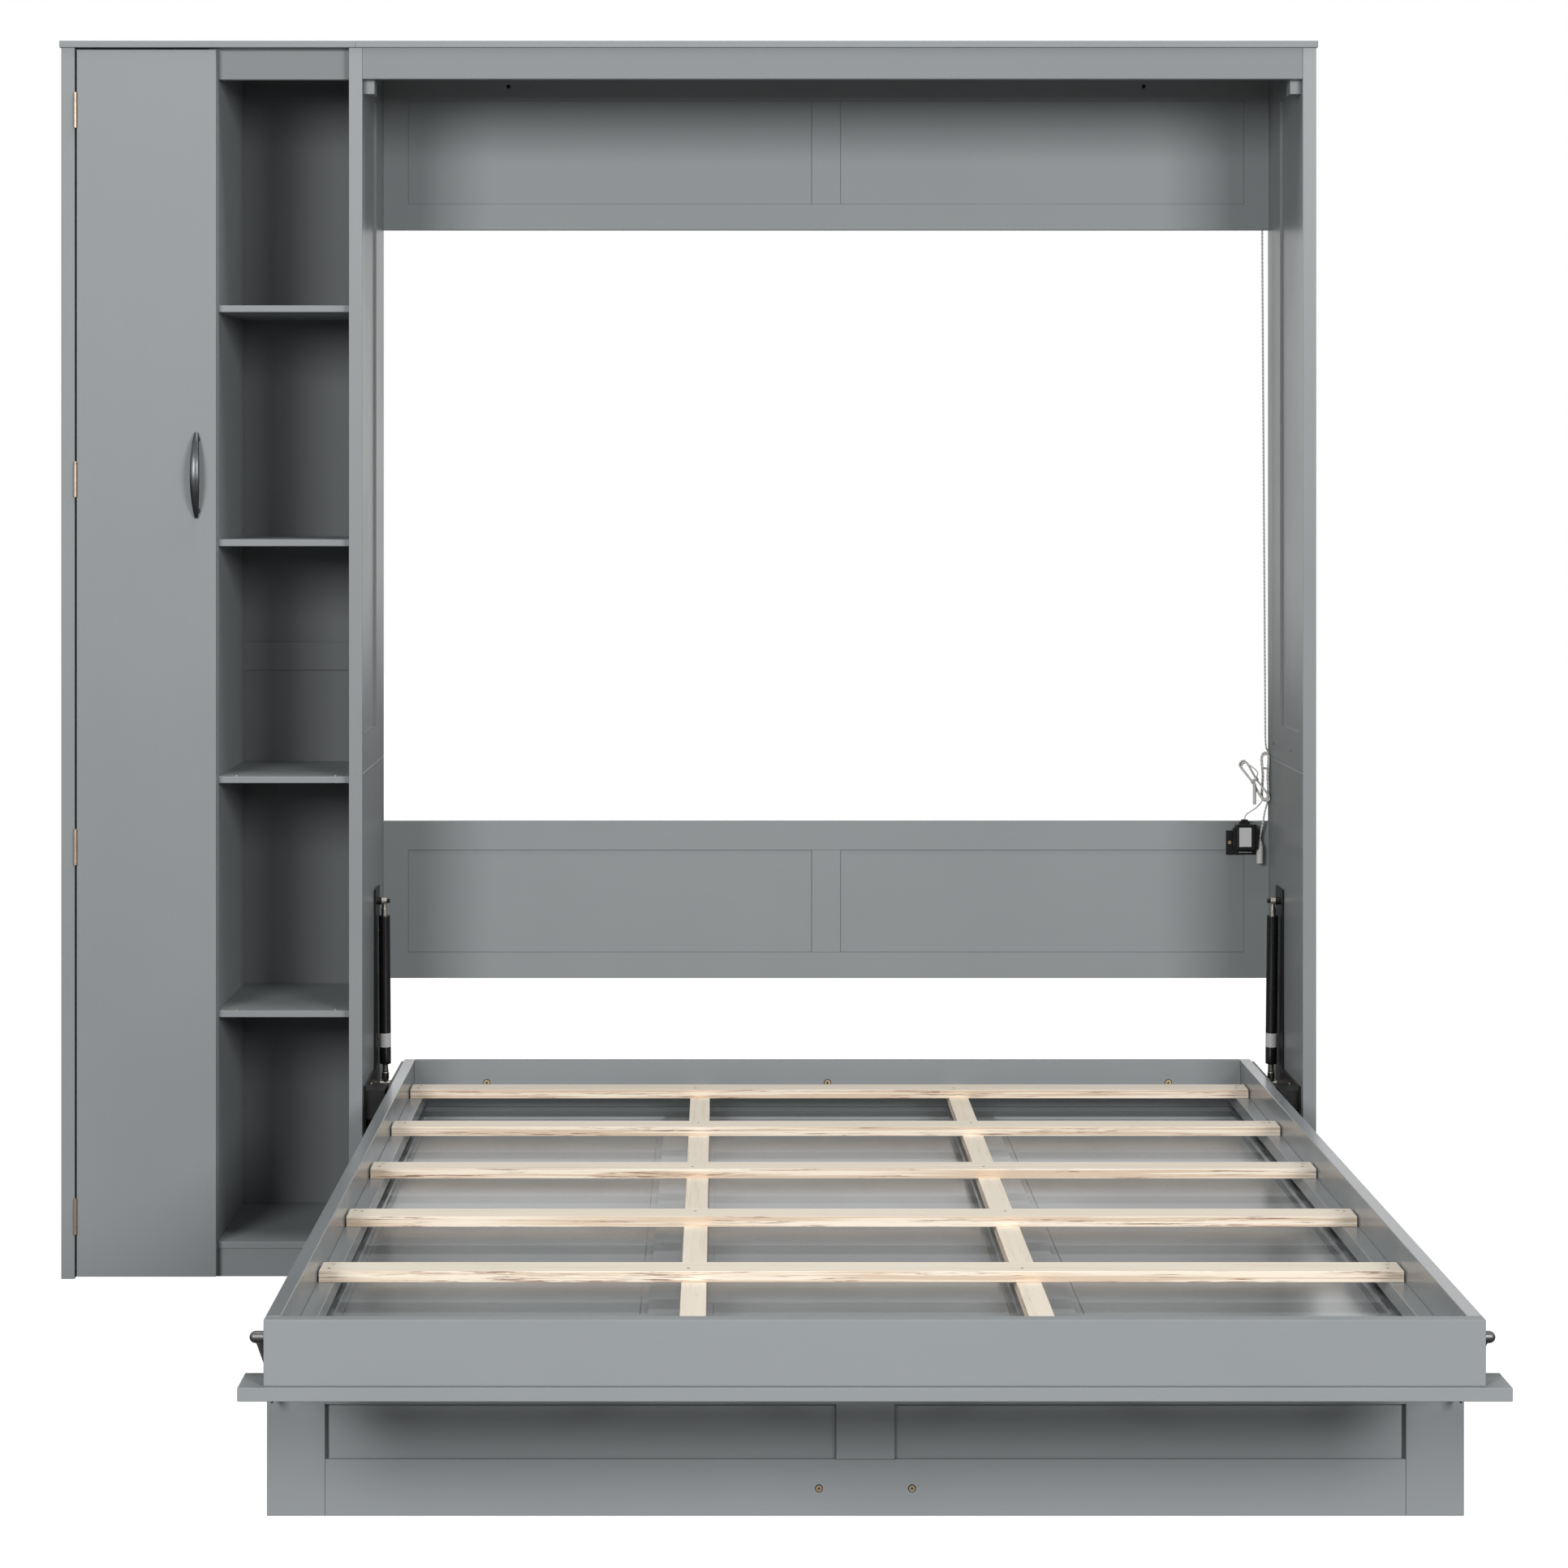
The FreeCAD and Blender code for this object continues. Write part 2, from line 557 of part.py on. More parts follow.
def folding_leg():
    """The framed leg board, its two sunk panels, its handle, screws and stay lugs."""
    full = ("centre_x - face_half", "centre_x + face_half")
    deep = along("leg_front", "leg_front + leg_thick")
    blank = board(full, deep, (0, "leg_top"))
    openings, panels, lugs, heads = [], [], [], []
    height = ("leg_rail", "leg_top - leg_top_rail")
    for side in (-1, 1):
        span = across(side, "leg_centre_half", "face_half - face_stile")
        openings.append(block(span, along("leg_front - 1", "leg_front + leg_thick + 1"), height))
        sheet = block(span, along("leg_front + leg_panel_recess",
                                  "leg_front + leg_panel_recess + leg_panel_thick"), height)
        slot = block(across(side, "face_half - face_stile - leg_groove_wide", "face_half - face_stile + 1"),
                     along("leg_front + leg_panel_recess - 1",
                           "leg_front + leg_panel_recess + leg_groove_deep"), height)
        panels.append(cut(sheet, slot))
        foot = board(across(side, "stay_x + stay_eye_half + 0.7", "stay_x + stay_eye_half + 3.7"),
                     along("stay_low_along - 8", "leg_front"),
                     ("stay_low_height - 17", "stay_low_height + 9"), 0.8)
        pad = board(across(side, "stay_x - 8", "face_half - 1"),
                    along("leg_front - 2.5", "leg_front"),
                    ("stay_low_height - 17", "stay_low_height + 6"), 0.8)
        lugs.append(fuse(foot, pad))
        heads.append(disc(4.2, f"centre_x + {side} * handle_pitch / 2",
                          "front_y - foot_reach + leg_front", "leg_handle_height", (0, -1, 0)))
    node(cut(blank, *openings), "leg_frame")
    node(group(*panels), "leg_panels")
    node(group(*lugs), "stay_lugs")
    node(group(*heads), "leg_handle_screws")
    bow_handle("leg_handle", "centre_x", "front_y - foot_reach + leg_front + leg_thick",
               "leg_handle_height", (1, 0, 0), (0, 1, 0))


# ---------------------------------------------------------------- struts and stays

def link_ends(prefix):
    """The Y offset and the drop from a link's upper centre to its lower one."""
    if prefix == "strut":
        return "strut_low_y - strut_top_y", "strut_top_height - strut_low_height"
    return "stay_low_along - stay_top_along", "stay_top_height - stay_low_height"


def hang(link, prefix, x, y, z):
    """Hangs a link, made along local -Z from the origin, between its two centres."""
    over, drop = link_ends(prefix)
    link.Placement = FreeCAD.Placement(V(), FreeCAD.Rotation(V(1, 0, 0), 1))
    link.setExpression("Placement.Rotation.Angle", bound(f"atan2({over}; {drop})"))
    return place(link, x, y, z)


def link_length(prefix):
    """The distance between a link's two centres at rest."""
    over, drop = (eval_number(text) for text in link_ends(prefix))
    return math.hypot(over, drop)


def link_cylinder(prefix):
    """A gas spring's cylinder with its upper eye, bored for the stud and for the rod."""
    is_strut = prefix == "strut"
    radius = "strut_radius" if is_strut else "stay_radius"
    tube = "strut_tube" if is_strut else "stay_tube"
    neck = "strut_neck" if is_strut else 11
    eye = rod(prefix + "_eye", f"2 * {prefix}_eye_half", f"0 - {prefix}_eye_half", 0, 0, (1, 0, 0))
    shank = rod("strut_stud + 0.5" if is_strut else 4.5, f"{neck}", 0, 0, f"0 - {neck} - 2", (0, 0, 1))
    collar = rod("strut_eye - 1.3" if is_strut else 5.5, f"{neck} / 2", 0, 0, f"0 - {neck}", (0, 0, 1))
    barrel = rod(radius, tube, 0, 0, f"0 - {neck} - {tube}", (0, 0, 1))
    soft = round_edges(barrel, 1.6)
    hole = rod("strut_stud + run_clear", f"2 * {prefix}_eye_half + 2",
               f"0 - {prefix}_eye_half - 1", 0, 0, (1, 0, 0))
    deep = "strut_stroke + 14" if is_strut else "stay_stroke + 18"
    bore = rod(f"{prefix}_rod + run_clear", f"{deep} + 1", 0, 0, f"0 - {neck} - {tube} - 1", (0, 0, 1))
    return cut(fuse(eye, shank, collar, soft), hole, bore)


def link_rod(prefix):
    """A gas spring's rod with its lower end fitting."""
    length = link_length(prefix)
    is_strut = prefix == "strut"
    reach = size(prefix + "_stroke") + 10 if is_strut else 14
    tube_end = (size("strut_neck") if is_strut else 11) + size(prefix + "_tube")
    top = tube_end - reach
    bar = rod(prefix + "_rod", length - top, 0, 0, -length, (0, 0, 1))
    eye_radius = 5.5 if is_strut else 5
    eye = rod(eye_radius, 20 if is_strut else 12, -10 if is_strut else -6, 0, -length, (1, 0, 0))
    socket = rod(6.5 if is_strut else 4.6, 14 if is_strut else 12, 0, 0, -length + 7, (0, 0, 1))
    nut = rod(5.8 if is_strut else 4.2, 4, 0, 0, -length + (22 if is_strut else 20), (0, 0, 1))
    return fuse(bar, eye, round_edges(socket, 0.8), nut)


def struts_and_stays():
    """Two gas struts that lift the bed, and two stays that steady the leg."""
    tubes, rods = [], []
    for side, name in ((-1, "left"), (1, "right")):
        x = f"centre_x + {side} * strut_x"
        here = (x, "front_y + strut_top_y", "strut_top_height")
        node(hang(link_cylinder("strut"), "strut", *here), "strut_cylinder_" + name)
        node(hang(link_rod("strut"), "strut", *here), "strut_rod_" + name)
        x = f"centre_x + {side} * stay_x"
        here = (x, "front_y - foot_reach + stay_top_along", "stay_top_height")
        tubes.append(hang(link_cylinder("stay"), "stay", *here))
        rods.append(hang(link_rod("stay"), "stay", *here))
    node(group(*tubes), "stay_tubes")
    node(group(*rods), "stay_rods")


# ---------------------------------------------------------------- adaptor and leads

def adaptor():
    """The black adaptor on the lower back board, on its eared plate."""
    face = "cab_depth - board_thick"
    ears = board(("centre_x + ear_left", "centre_x + ear_right"),
                 behind(f"{face} - adaptor_plate", face), ("ear_low", "ear_high"), 0.8)
    node(ears, "adaptor_plate")
    casing = board(("centre_x + adaptor_left", "centre_x + adaptor_right"),
                   behind(f"{face} - adaptor_plate - adaptor_deep", f"{face} - adaptor_plate"),
                   ("adaptor_low", "adaptor_high"), 3.0)
    gland = rod(5, 6, "centre_x + 788", f"front_y + {face} - adaptor_plate - adaptor_deep / 2",
                "adaptor_high - 1", (0, 0, 1))
    node(fuse(casing, gland), "adaptor_box")


# Routes of the two thin leads: across from the bed's centre line, back from the
# cabinet's front face, and height.
LIGHT_LEAD = 3.4
LIGHT_DROP = ((825, 403, 1893.9), (825, 402.5, 1835), (828, 385, 980), (828, 383.5, 917))
LIGHT_TAIL = ((827, 383, 814), (827, 382.5, 798), (823, 381, 774), (817, 380, 752), (817, 380, 733))
ADAPTOR_LEAD = 2.6
ADAPTOR_ROUTE = ((788, 379, 779), (788, 379, 788.5), (797, 377.5, 796), (808, 375, 803),
                 (817, 372.5, 812), (822, 371, 822))


def lead(points, diameter):
    """A round lead along straight runs joined by tangent arcs as large as the runs allow."""
    spots = [V(size("centre_x") + x, size("front_y") + y, z) for x, y, z in points]
    edges, radii, start = [], [], spots[0]
    for before, here, after in zip(spots, spots[1:], spots[2:]):
        incoming, outgoing = here - before, after - here
        turn = incoming.getAngle(outgoing)
        reach = 0.45 * min(incoming.Length, outgoing.Length)
        radii.append(reach / math.tan(turn / 2))
        leave = here - V(incoming).normalize() * reach
        join = here + V(outgoing).normalize() * reach
        middle = here - (here * 2 - leave - join).normalize() * (radii[-1] / math.cos(turn / 2) - radii[-1])
        edges.append(Part.LineSegment(start, leave).toShape())
        edges.append(Part.Arc(leave, middle, join).toShape())
        start = join
    edges.append(Part.LineSegment(start, spots[-1]).toShape())
    path = Part.Wire(edges)
    direction = spots[1] - spots[0]
    ring = Part.Wire([Part.Circle(spots[0], direction, diameter / 2).toShape()])
    tube = path.makePipeShell([ring], True, True)
    share = tube.Volume / (math.pi * diameter ** 2 / 4 * path.Length)
    print("lead: length %.0f, radii %s, volume share %.3f"
          % (path.Length, [round(radius, 1) for radius in radii], share))
    piece = DOC.addObject("Part::Feature", "lead")
    piece.Shape = tube
    return piece


def leads():
    """The light's lead with its hank and connector, and the adaptor's lead with its own."""
    node(group(lead(LIGHT_DROP, LIGHT_LEAD), lead(LIGHT_TAIL, LIGHT_LEAD)), "light_lead")
    node(board(("centre_x + 820", "centre_x + 837 - 0.6"), behind(377, 389.5), (811, 920), 5.0), "light_hank")
    plug = rod(6.2, 34, "centre_x + 817", "front_y + 380", 699, (0, 0, 1))
    node(round_edges(plug, 1.2), "light_connector")
    node(lead(ADAPTOR_ROUTE, ADAPTOR_LEAD), "adaptor_lead")
    hank = board((-9, 9), (-7, 7), (-46, 46), 5.0)
    hank.Placement = FreeCAD.Placement(V(), FreeCAD.Rotation(V(0, 1, 0), -33.7))
    node(place(hank, "centre_x + 805", "front_y + 366.3", 856), "adaptor_hank")
    plug = rod(3.2, 38, "centre_x + 804", "front_y + 359", 812, (0, 0, 1))
    node(round_edges(plug, 1.0), "adaptor_plug")


def check_and_export():
    """Recomputes, refuses a failed or empty piece, and writes one STEP file per sub-part."""
    DOC.recompute()
    for thing in DOC.Objects:
        if "Invalid" in thing.State or "Error" in thing.State:
            raise RuntimeError(f"{thing.Name} ({thing.Label}) did not compute")
    os.makedirs("parts", exist_ok=True)
    for thing in NODES:
        shape = thing.Shape
        if shape.isNull() or not shape.isValid() or shape.Volume <= 0:
            raise RuntimeError(f"{thing.Label} has no valid solid")
        shape.exportStep(os.path.join("parts", thing.Label + ".step"))
    print(len(NODES), "sub-parts written")


write_sheet()
closet_unit()
for cabinet_side in (-1, 1):
    bed_side_panel(cabinet_side)
tops_and_fascia()
back_board("back_board_upper", "back_high_low", "body_top", "frame_rail", "frame_top_rail", True)
back_board("back_board_lower", "back_low_low", "back_low_high", "frame_rail", "frame_top_rail", False)
pivot_plates()
cabinet_screws()
closet_hinges()
closet_door()
bed_box()
bed_face()
bed_hardware()
leg_hinges()
folding_leg()
struts_and_stays()
adaptor()
leads()
check_and_export()
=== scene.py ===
import math

import bmesh
import bpy
from mathutils import Matrix, Vector


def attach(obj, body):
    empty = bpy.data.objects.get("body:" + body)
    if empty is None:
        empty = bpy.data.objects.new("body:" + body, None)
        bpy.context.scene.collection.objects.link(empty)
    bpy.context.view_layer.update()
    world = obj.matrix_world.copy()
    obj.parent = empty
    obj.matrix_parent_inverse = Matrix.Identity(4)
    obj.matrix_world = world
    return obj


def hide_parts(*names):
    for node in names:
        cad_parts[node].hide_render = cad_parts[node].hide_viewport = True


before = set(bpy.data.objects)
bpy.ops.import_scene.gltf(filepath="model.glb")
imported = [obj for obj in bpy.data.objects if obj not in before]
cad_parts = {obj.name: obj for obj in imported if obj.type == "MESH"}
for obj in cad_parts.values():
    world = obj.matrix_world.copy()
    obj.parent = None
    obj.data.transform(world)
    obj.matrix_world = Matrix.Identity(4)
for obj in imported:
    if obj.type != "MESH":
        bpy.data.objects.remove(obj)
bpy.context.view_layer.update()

# The bed's centre line and the cabinet's front face, in the frame, in metres.
CENTRE_X = 0.256
FRONT_Y = 0.6795
# How far the foot board's front face stands before the cabinet's front, in millimetres.
FOOT_REACH = 1763


def spot(u, v, z):
    """A point from millimetres across the bed's centre line, behind the cabinet's front, and up."""
    return Vector((CENTRE_X + u / 1000, FRONT_Y + v / 1000, z / 1000))


def bed_spot(u, s, z):
    """A point from millimetres across, back from the foot board's front face, and up."""
    return spot(u, s - FOOT_REACH, z)


# ---------------------------------------------------------------- node helpers

class Shader:
    """A material under construction, with short ways to add and join its nodes."""

    def __init__(self, name):
        self.material = bpy.data.materials.new(name)
        self.material.use_nodes = True
        self.tree = self.material.node_tree
        self.body = self.tree.nodes["Principled BSDF"]
        self.place = self.tree.nodes.new("ShaderNodeTexCoord").outputs["Object"]

    def join(self, value, socket):
        """Links an output to a socket, or sets the socket to a plain value."""
        if isinstance(value, bpy.types.NodeSocket):
            self.tree.links.new(value, socket)
        else:
            socket.default_value = value

    def add(self, kind, **settings):
        """Adds a node with some of its settings."""
        node = self.tree.nodes.new(kind)
        for name, value in settings.items():
            setattr(node, name, value)
        return node

    def set(self, **values):
        """Sets the shader's sockets by their names, with underscores for spaces."""
        for name, value in values.items():
            self.join(value, self.body.inputs[name.replace("_", " ")])
        return self

    def noise(self, scale, detail=3.0, rough=0.55):
        """Noise stretched by a scale along each axis, in cycles per metre."""
        stretch = self.add("ShaderNodeMapping")
        self.join(self.place, stretch.inputs["Vector"])
        stretch.inputs["Scale"].default_value = scale
        node = self.add("ShaderNodeTexNoise")
        self.join(stretch.outputs["Vector"], node.inputs["Vector"])
        node.inputs["Scale"].default_value = 1.0
        node.inputs["Detail"].default_value = detail
        node.inputs["Roughness"].default_value = rough
        return node.outputs["Fac"]

    def ramp(self, value, stops):
        """A colour ramp; each stop is a place and a colour or a grey."""
        node = self.add("ShaderNodeValToRGB")
        self.join(value, node.inputs["Fac"])
        marks = node.color_ramp.elements
        while len(marks) < len(stops):
            marks.new(0.5)
        for mark, (at, colour) in zip(marks, stops):
            mark.position = at
            mark.color = (*colour, 1) if isinstance(colour, tuple) else (colour,) * 3 + (1,)
        return node.outputs["Color"]

    def mix(self, share, first, second):
        """A blend of two colours, where a share of 1 is all the second."""
        node = self.add("ShaderNodeMix", data_type="RGBA")
        self.join(share, node.inputs[0])
        for value, socket in ((first, node.inputs[6]), (second, node.inputs[7])):
            self.join((*value, 1) if isinstance(value, tuple) else value, socket)
        return node.outputs[2]

    def sum(self, kind, *values):
        """One step of arithmetic, named by its kind."""
        node = self.add("ShaderNodeMath", operation=kind)
        for value, socket in zip(values, node.inputs):
            self.join(value, socket)
        return node.outputs[0]

    def range(self, value, low, high, to_low=0.0, to_high=1.0):
        """A value moved from one range to another and held within it."""
        node = self.add("ShaderNodeMapRange")
        sockets = (value, low, high, to_low, to_high)
        for part, socket in zip(sockets, node.inputs):
            self.join(part, socket)
        return node.outputs[0]

    def axis(self, letter, source=None):
        """One part of a vector; of the place in the object, unless another is given."""
        node = self.add("ShaderNodeSeparateXYZ")
        self.join(source or self.place, node.inputs[0])
        return node.outputs[letter]

    def bump(self, height, strength, distance, under=None):
        """A relief of a depth in metres, laid over another relief if one is given."""
        node = self.add("ShaderNodeBump")
        node.inputs["Strength"].default_value = strength
        node.inputs["Distance"].default_value = distance
        self.join(height, node.inputs["Height"])
        if under is not None:
            self.join(under, node.inputs["Normal"])
        return node.outputs["Normal"]


def facing(shader, letter):
    """How far a face looks along one of its own object's axes, from 0 to 1, in any pose."""
    turn = shader.add("ShaderNodeVectorTransform", vector_type="NORMAL",
                      convert_from="WORLD", convert_to="OBJECT")
    shader.join(shader.add("ShaderNodeNewGeometry").outputs["True Normal"], turn.inputs[0])
    return shader.sum("ABSOLUTE", shader.axis(letter, turn.outputs[0]))


# ---------------------------------------------------------------- materials

GREY, PALE_GREY, GRAIN_GREY = (0.246, 0.262, 0.270), (0.258, 0.274, 0.282), (0.19, 0.20, 0.205)
# Seam lines are painted shade: a near-black hairline where shade falls in joints and grooves.
SEAM_SHADE_BLACK = (0.05, 0.05, 0.05)
SEAM_CORE, SEAM_EDGE = 0.0004, 0.0009


def grey_paint(name, along, shade=1.0, rough=0.42, shine=0.16, shaded_seams=(), seam_shade_dark=0.62):
    """
    Sprayed paint on board, with the board's fine grain along one axis just showing through.
    A seam is (axis, place on it, the other axis, from, to): a dark hairline of painted shade,
    for the shade in a joint or groove, on the faces that look to the front or the back.
    """
    s = Shader(name)
    fine = {"X": (7, 420, 420), "Y": (420, 7, 420), "Z": (420, 420, 7)}[along]
    grain = s.noise(fine, 4.0, 0.6)
    cloud = s.noise((2.3, 2.3, 2.3), 3.0)
    tone = tuple(part * shade for part in GREY)
    pale = tuple(part * shade for part in PALE_GREY)
    colour = s.mix(s.range(cloud, 0.35, 0.65), tone, pale)
    colour = s.mix(s.range(grain, 0.3, 0.7, 0.0, 0.07), colour, GRAIN_GREY)
    front = facing(s, "Y") if shaded_seams else None
    # Each seam paints a hairline of shade onto the front and back faces.
    for across, at, other, low, high in shaded_seams:
        off = s.sum("ABSOLUTE", s.sum("SUBTRACT", s.axis(across), at))
        line = s.range(off, SEAM_CORE, SEAM_EDGE, seam_shade_dark, 0.0)
        inside = s.sum("MULTIPLY", s.sum("GREATER_THAN", s.axis(other), low),
                       s.sum("LESS_THAN", s.axis(other), high))
        share = s.sum("MULTIPLY", s.sum("MULTIPLY", line, inside), front)
        colour = s.mix(share, colour, SEAM_SHADE_BLACK)
    peel = s.noise((330, 330, 330), 2.0)
    normal = s.bump(grain, 0.10, 0.0003)
    normal = s.bump(peel, 0.05, 0.0004, normal)
    s.set(Base_Color=colour, Roughness=s.range(cloud, 0.3, 0.7, rough, rough + 0.08), Normal=normal)
    s.set(Specular_IOR_Level=shine, IOR=1.45)
    return s.material


def bare_wood(name, along):
    """Pale laminated softwood: quiet on its face, streaked with glue lines on its edges."""
    s = Shader(name)

    def stretch(lengthwise, sideways, upright):
        return (lengthwise, sideways, upright) if along == "X" else (sideways, lengthwise, upright)

    side = facing(s, "Y" if along == "X" else "X")
    grain = s.noise(stretch(3.5, 130, 130), 6.0, 0.62)
    colour = s.ramp(grain, [(0.28, (0.74, 0.63, 0.50)), (0.46, (0.84, 0.76, 0.63)),
                            (0.70, (0.89, 0.825, 0.71))])
    plank = s.noise((1.7, 3.1, 1.0), 1.0)
    colour = s.mix(s.range(plank, 0.35, 0.65, 0.0, 0.5), colour, (0.88, 0.80, 0.69))
    pores = s.noise(stretch(26, 300, 800), 2.0)
    colour = s.mix(s.range(pores, 0.62, 0.74, 0.0, 0.35), colour, (0.55, 0.43, 0.30))
    veneer = s.range(s.noise((2.2, 2.2, 190), 2.0), 0.46, 0.56, 0.20, 0.78)
    colour = s.mix(s.sum("MULTIPLY", side, veneer), colour, (0.55, 0.40, 0.28))
    broad = s.range(s.noise(stretch(5.5, 60, 230), 4.0, 0.65), 0.515, 0.605)
    fine = s.range(s.noise(stretch(16, 90, 420), 3.0, 0.7), 0.48, 0.57)
    streaks = s.sum("MULTIPLY", s.sum("MULTIPLY", broad, fine), side)
    colour = s.mix(s.sum("MULTIPLY", streaks, 0.82), colour, (0.17, 0.065, 0.035))
    normal = s.bump(s.sum("ADD", grain, s.sum("MULTIPLY", pores, 0.4)), 0.35, 0.0004)
    s.set(Base_Color=colour, Roughness=s.range(grain, 0.3, 0.7, 0.62, 0.74), Normal=normal)
    s.set(Specular_IOR_Level=0.3)
    return s.material


def coated_steel(name, colour, rough):
    """Powder coat: fine pebbles, a little dust in the hollows."""
    s = Shader(name)
    pebbles = s.noise((900, 900, 900), 2.0)
    dust = s.range(s.noise((45, 45, 45), 4.0), 0.52, 0.72, 0.0, 0.10)
    s.set(Base_Color=s.mix(dust, colour, (0.05, 0.05, 0.05)), Normal=s.bump(pebbles, 0.15, 0.0003))
    s.set(Roughness=s.range(pebbles, 0.3, 0.7, rough - 0.04, rough + 0.08), Specular_IOR_Level=0.3)
    return s.material


def plated(name, colour, rough=0.25, scratch=(40, 40, 900)):
    """Plated metal with fine scratches and a faint stain."""
    s = Shader(name)
    lines = s.noise(scratch, 3.0)
    stain = s.range(s.noise((60, 60, 60), 3.0), 0.45, 0.7, 0.0, 0.35)
    darker = tuple(part * 0.6 for part in colour)
    s.set(Base_Color=s.mix(stain, colour, darker), Metallic=1.0, Normal=s.bump(lines, 0.12, 0.0002))
    s.set(Roughness=s.range(lines, 0.3, 0.7, rough, rough + 0.14))
    return s.material


def plastic(name, colour, rough=0.45, grit=700, shine=0.4):
    """Moulded plastic with a spark-eroded texture."""
    s = Shader(name)
    texture = s.noise((grit, grit, grit), 2.0)
    shade = tuple(part * 0.82 for part in colour)
    s.set(Base_Color=s.mix(s.range(texture, 0.35, 0.65, 0.0, 0.5), colour, shade))
    s.set(Roughness=s.range(texture, 0.3, 0.7, rough, rough + 0.1), Normal=s.bump(texture, 0.15, 0.0003))
    s.set(Specular_IOR_Level=shine)
    return s.material


BARREL_START, BAND_START, BAND_END = 0.0268, 0.246, 0.272


def strut_finish(name, top, foot):
    """
    A gas strut's cylinder: nickel eye and collar, black barrel, and a plain silver band
    near the foot. The parts are told apart by their distance below the upper eye, in metres.
    """
    s = Shader(name)
    direction = (foot - top).normalized()
    offset = s.add("ShaderNodeVectorMath", operation="SUBTRACT")
    s.join(s.place, offset.inputs[0])
    offset.inputs[1].default_value = top
    along = s.add("ShaderNodeVectorMath", operation="DOT_PRODUCT")
    s.join(offset.outputs[0], along.inputs[0])
    along.inputs[1].default_value = direction
    depth = along.outputs["Value"]
    barrel = s.sum("GREATER_THAN", depth, BARREL_START)
    band = s.sum("MULTIPLY", s.sum("GREATER_THAN", depth, BAND_START), s.sum("LESS_THAN", depth, BAND_END))
    speckle = s.noise((260, 260, 260), 2.0)
    nickel = s.mix(speckle, (0.66, 0.63, 0.57), (0.46, 0.43, 0.38))
    silver = s.mix(speckle, (0.50, 0.50, 0.50), (0.62, 0.62, 0.62))
    colour = s.mix(band, s.mix(barrel, nickel, (0.008, 0.008, 0.009)), silver)
    s.set(Base_Color=colour, Metallic=s.sum("SUBTRACT", 1.0, barrel), Normal=s.bump(speckle, 0.03, 0.0001))
    s.set(Roughness=s.range(speckle, 0.3, 0.7, 0.20, 0.28), Specular_IOR_Level=0.4)
    return s.material


def lead_jacket(name, colour, shadow, pitch):
    """A thin twisted twin lead: pale jacket with dark dashes of painted shade for the crevices where the two
    cores meet.
    """
    s = Shader(name)
    turns = s.sum("ADD", s.sum("MULTIPLY", s.axis("Z"), pitch), s.sum("MULTIPLY", s.axis("X"), pitch * 0.7))
    wobble = s.sum("MULTIPLY", s.noise((90, 90, 90), 1.0), 5.0)
    twist = s.sum("SINE", s.sum("ADD", turns, wobble))
    crevice_shade = s.range(twist, 0.15, 0.85, 0.0, 0.6)
    s.set(Base_Color=s.mix(crevice_shade, colour, shadow), Roughness=0.5, Normal=s.bump(twist, 0.3, 0.0004))
    return s.material


def floor_white():
    """A pale studio floor: white to the eye, but giving little light back."""
    s = Shader("studio_floor")
    cloud = s.noise((0.8, 0.8, 0.8), 2.0)
    s.set(Base_Color=s.mix(cloud, (0.22, 0.22, 0.22), (0.26, 0.26, 0.26)), Roughness=0.9)
    glow = s.add("ShaderNodeEmission")
    glow.inputs["Strength"].default_value = 1.05
    seen = s.add("ShaderNodeLightPath").outputs["Is Camera Ray"]
    blend = s.add("ShaderNodeMixShader")
    s.join(seen, blend.inputs[0])
    s.join(s.body.outputs[0], blend.inputs[1])
    s.join(glow.outputs[0], blend.inputs[2])
    s.join(blend.outputs[0], s.tree.nodes["Material Output"].inputs["Surface"])
    return s.material


PAINT_UP = grey_paint("grey_paint_upright", "Z")
PAINT_WIDE = grey_paint("grey_paint_crosswise", "X")
# The shelf bay's back takes the grey paint with its tone scaled to 0.58: painted shade for the shade inside
# the bay.
PAINT_BACK_SHADED = grey_paint("grey_paint_back_painted_shade", "Z", 0.58, 0.5)
PAINT_SIDE = grey_paint("grey_paint_sides", "Z", 0.97, 0.28, 0.25)
# The fascias take the grey paint with its tone scaled to 0.86: painted shade that holds down the light on
# them.
PAINT_FASCIA_SHADED = grey_paint("grey_paint_fascia_painted_shade", "X", 0.86)
PAINT_GLOSS = grey_paint("grey_lacquer", "Y", 1.05, 0.11, 0.75)
PAINT_RAIL = grey_paint("grey_paint_rails", "Y", 1.05, 0.16, 0.6)


BACK_RAIL, BACK_TOP_RAIL, BACK_PANEL_HALF, BACK_STILE_HALF = 0.049, 0.054, 0.789, 0.027
LEG_PANEL_HALF, LEG_STILE_HALF, LEG_RAIL, LEG_RAIL_TOP = 0.743, 0.0405, 0.078, 0.154


def frame_seam_shades(low, high):
    """Hairlines of painted shade round the sunk panels of a framed back board."""
    foot, head = low + BACK_RAIL, high - BACK_TOP_RAIL
    ends = (CENTRE_X - BACK_PANEL_HALF, CENTRE_X + BACK_PANEL_HALF)
    shaded_seams = [("Z", foot, "X", *ends), ("Z", head, "X", *ends)]
    for at in (-BACK_PANEL_HALF, -BACK_STILE_HALF, BACK_STILE_HALF, BACK_PANEL_HALF):
        shaded_seams.append(("X", CENTRE_X + at, "Z", foot, head))
    return shaded_seams


def leg_seam_shades():
    """Hairlines of painted shade round the sunk panels and the middle stile of the leg board."""
    shaded_seams = [("X", CENTRE_X + at, "Z", 0.0, 0.25) for at in (-LEG_PANEL_HALF, LEG_PANEL_HALF)]
    ends = (CENTRE_X - LEG_STILE_HALF, CENTRE_X + LEG_STILE_HALF)
    shaded_seams.append(("Z", LEG_RAIL, "X", *ends))
    return shaded_seams + [("X", at, "Z", LEG_RAIL, LEG_RAIL_TOP) for at in ends]
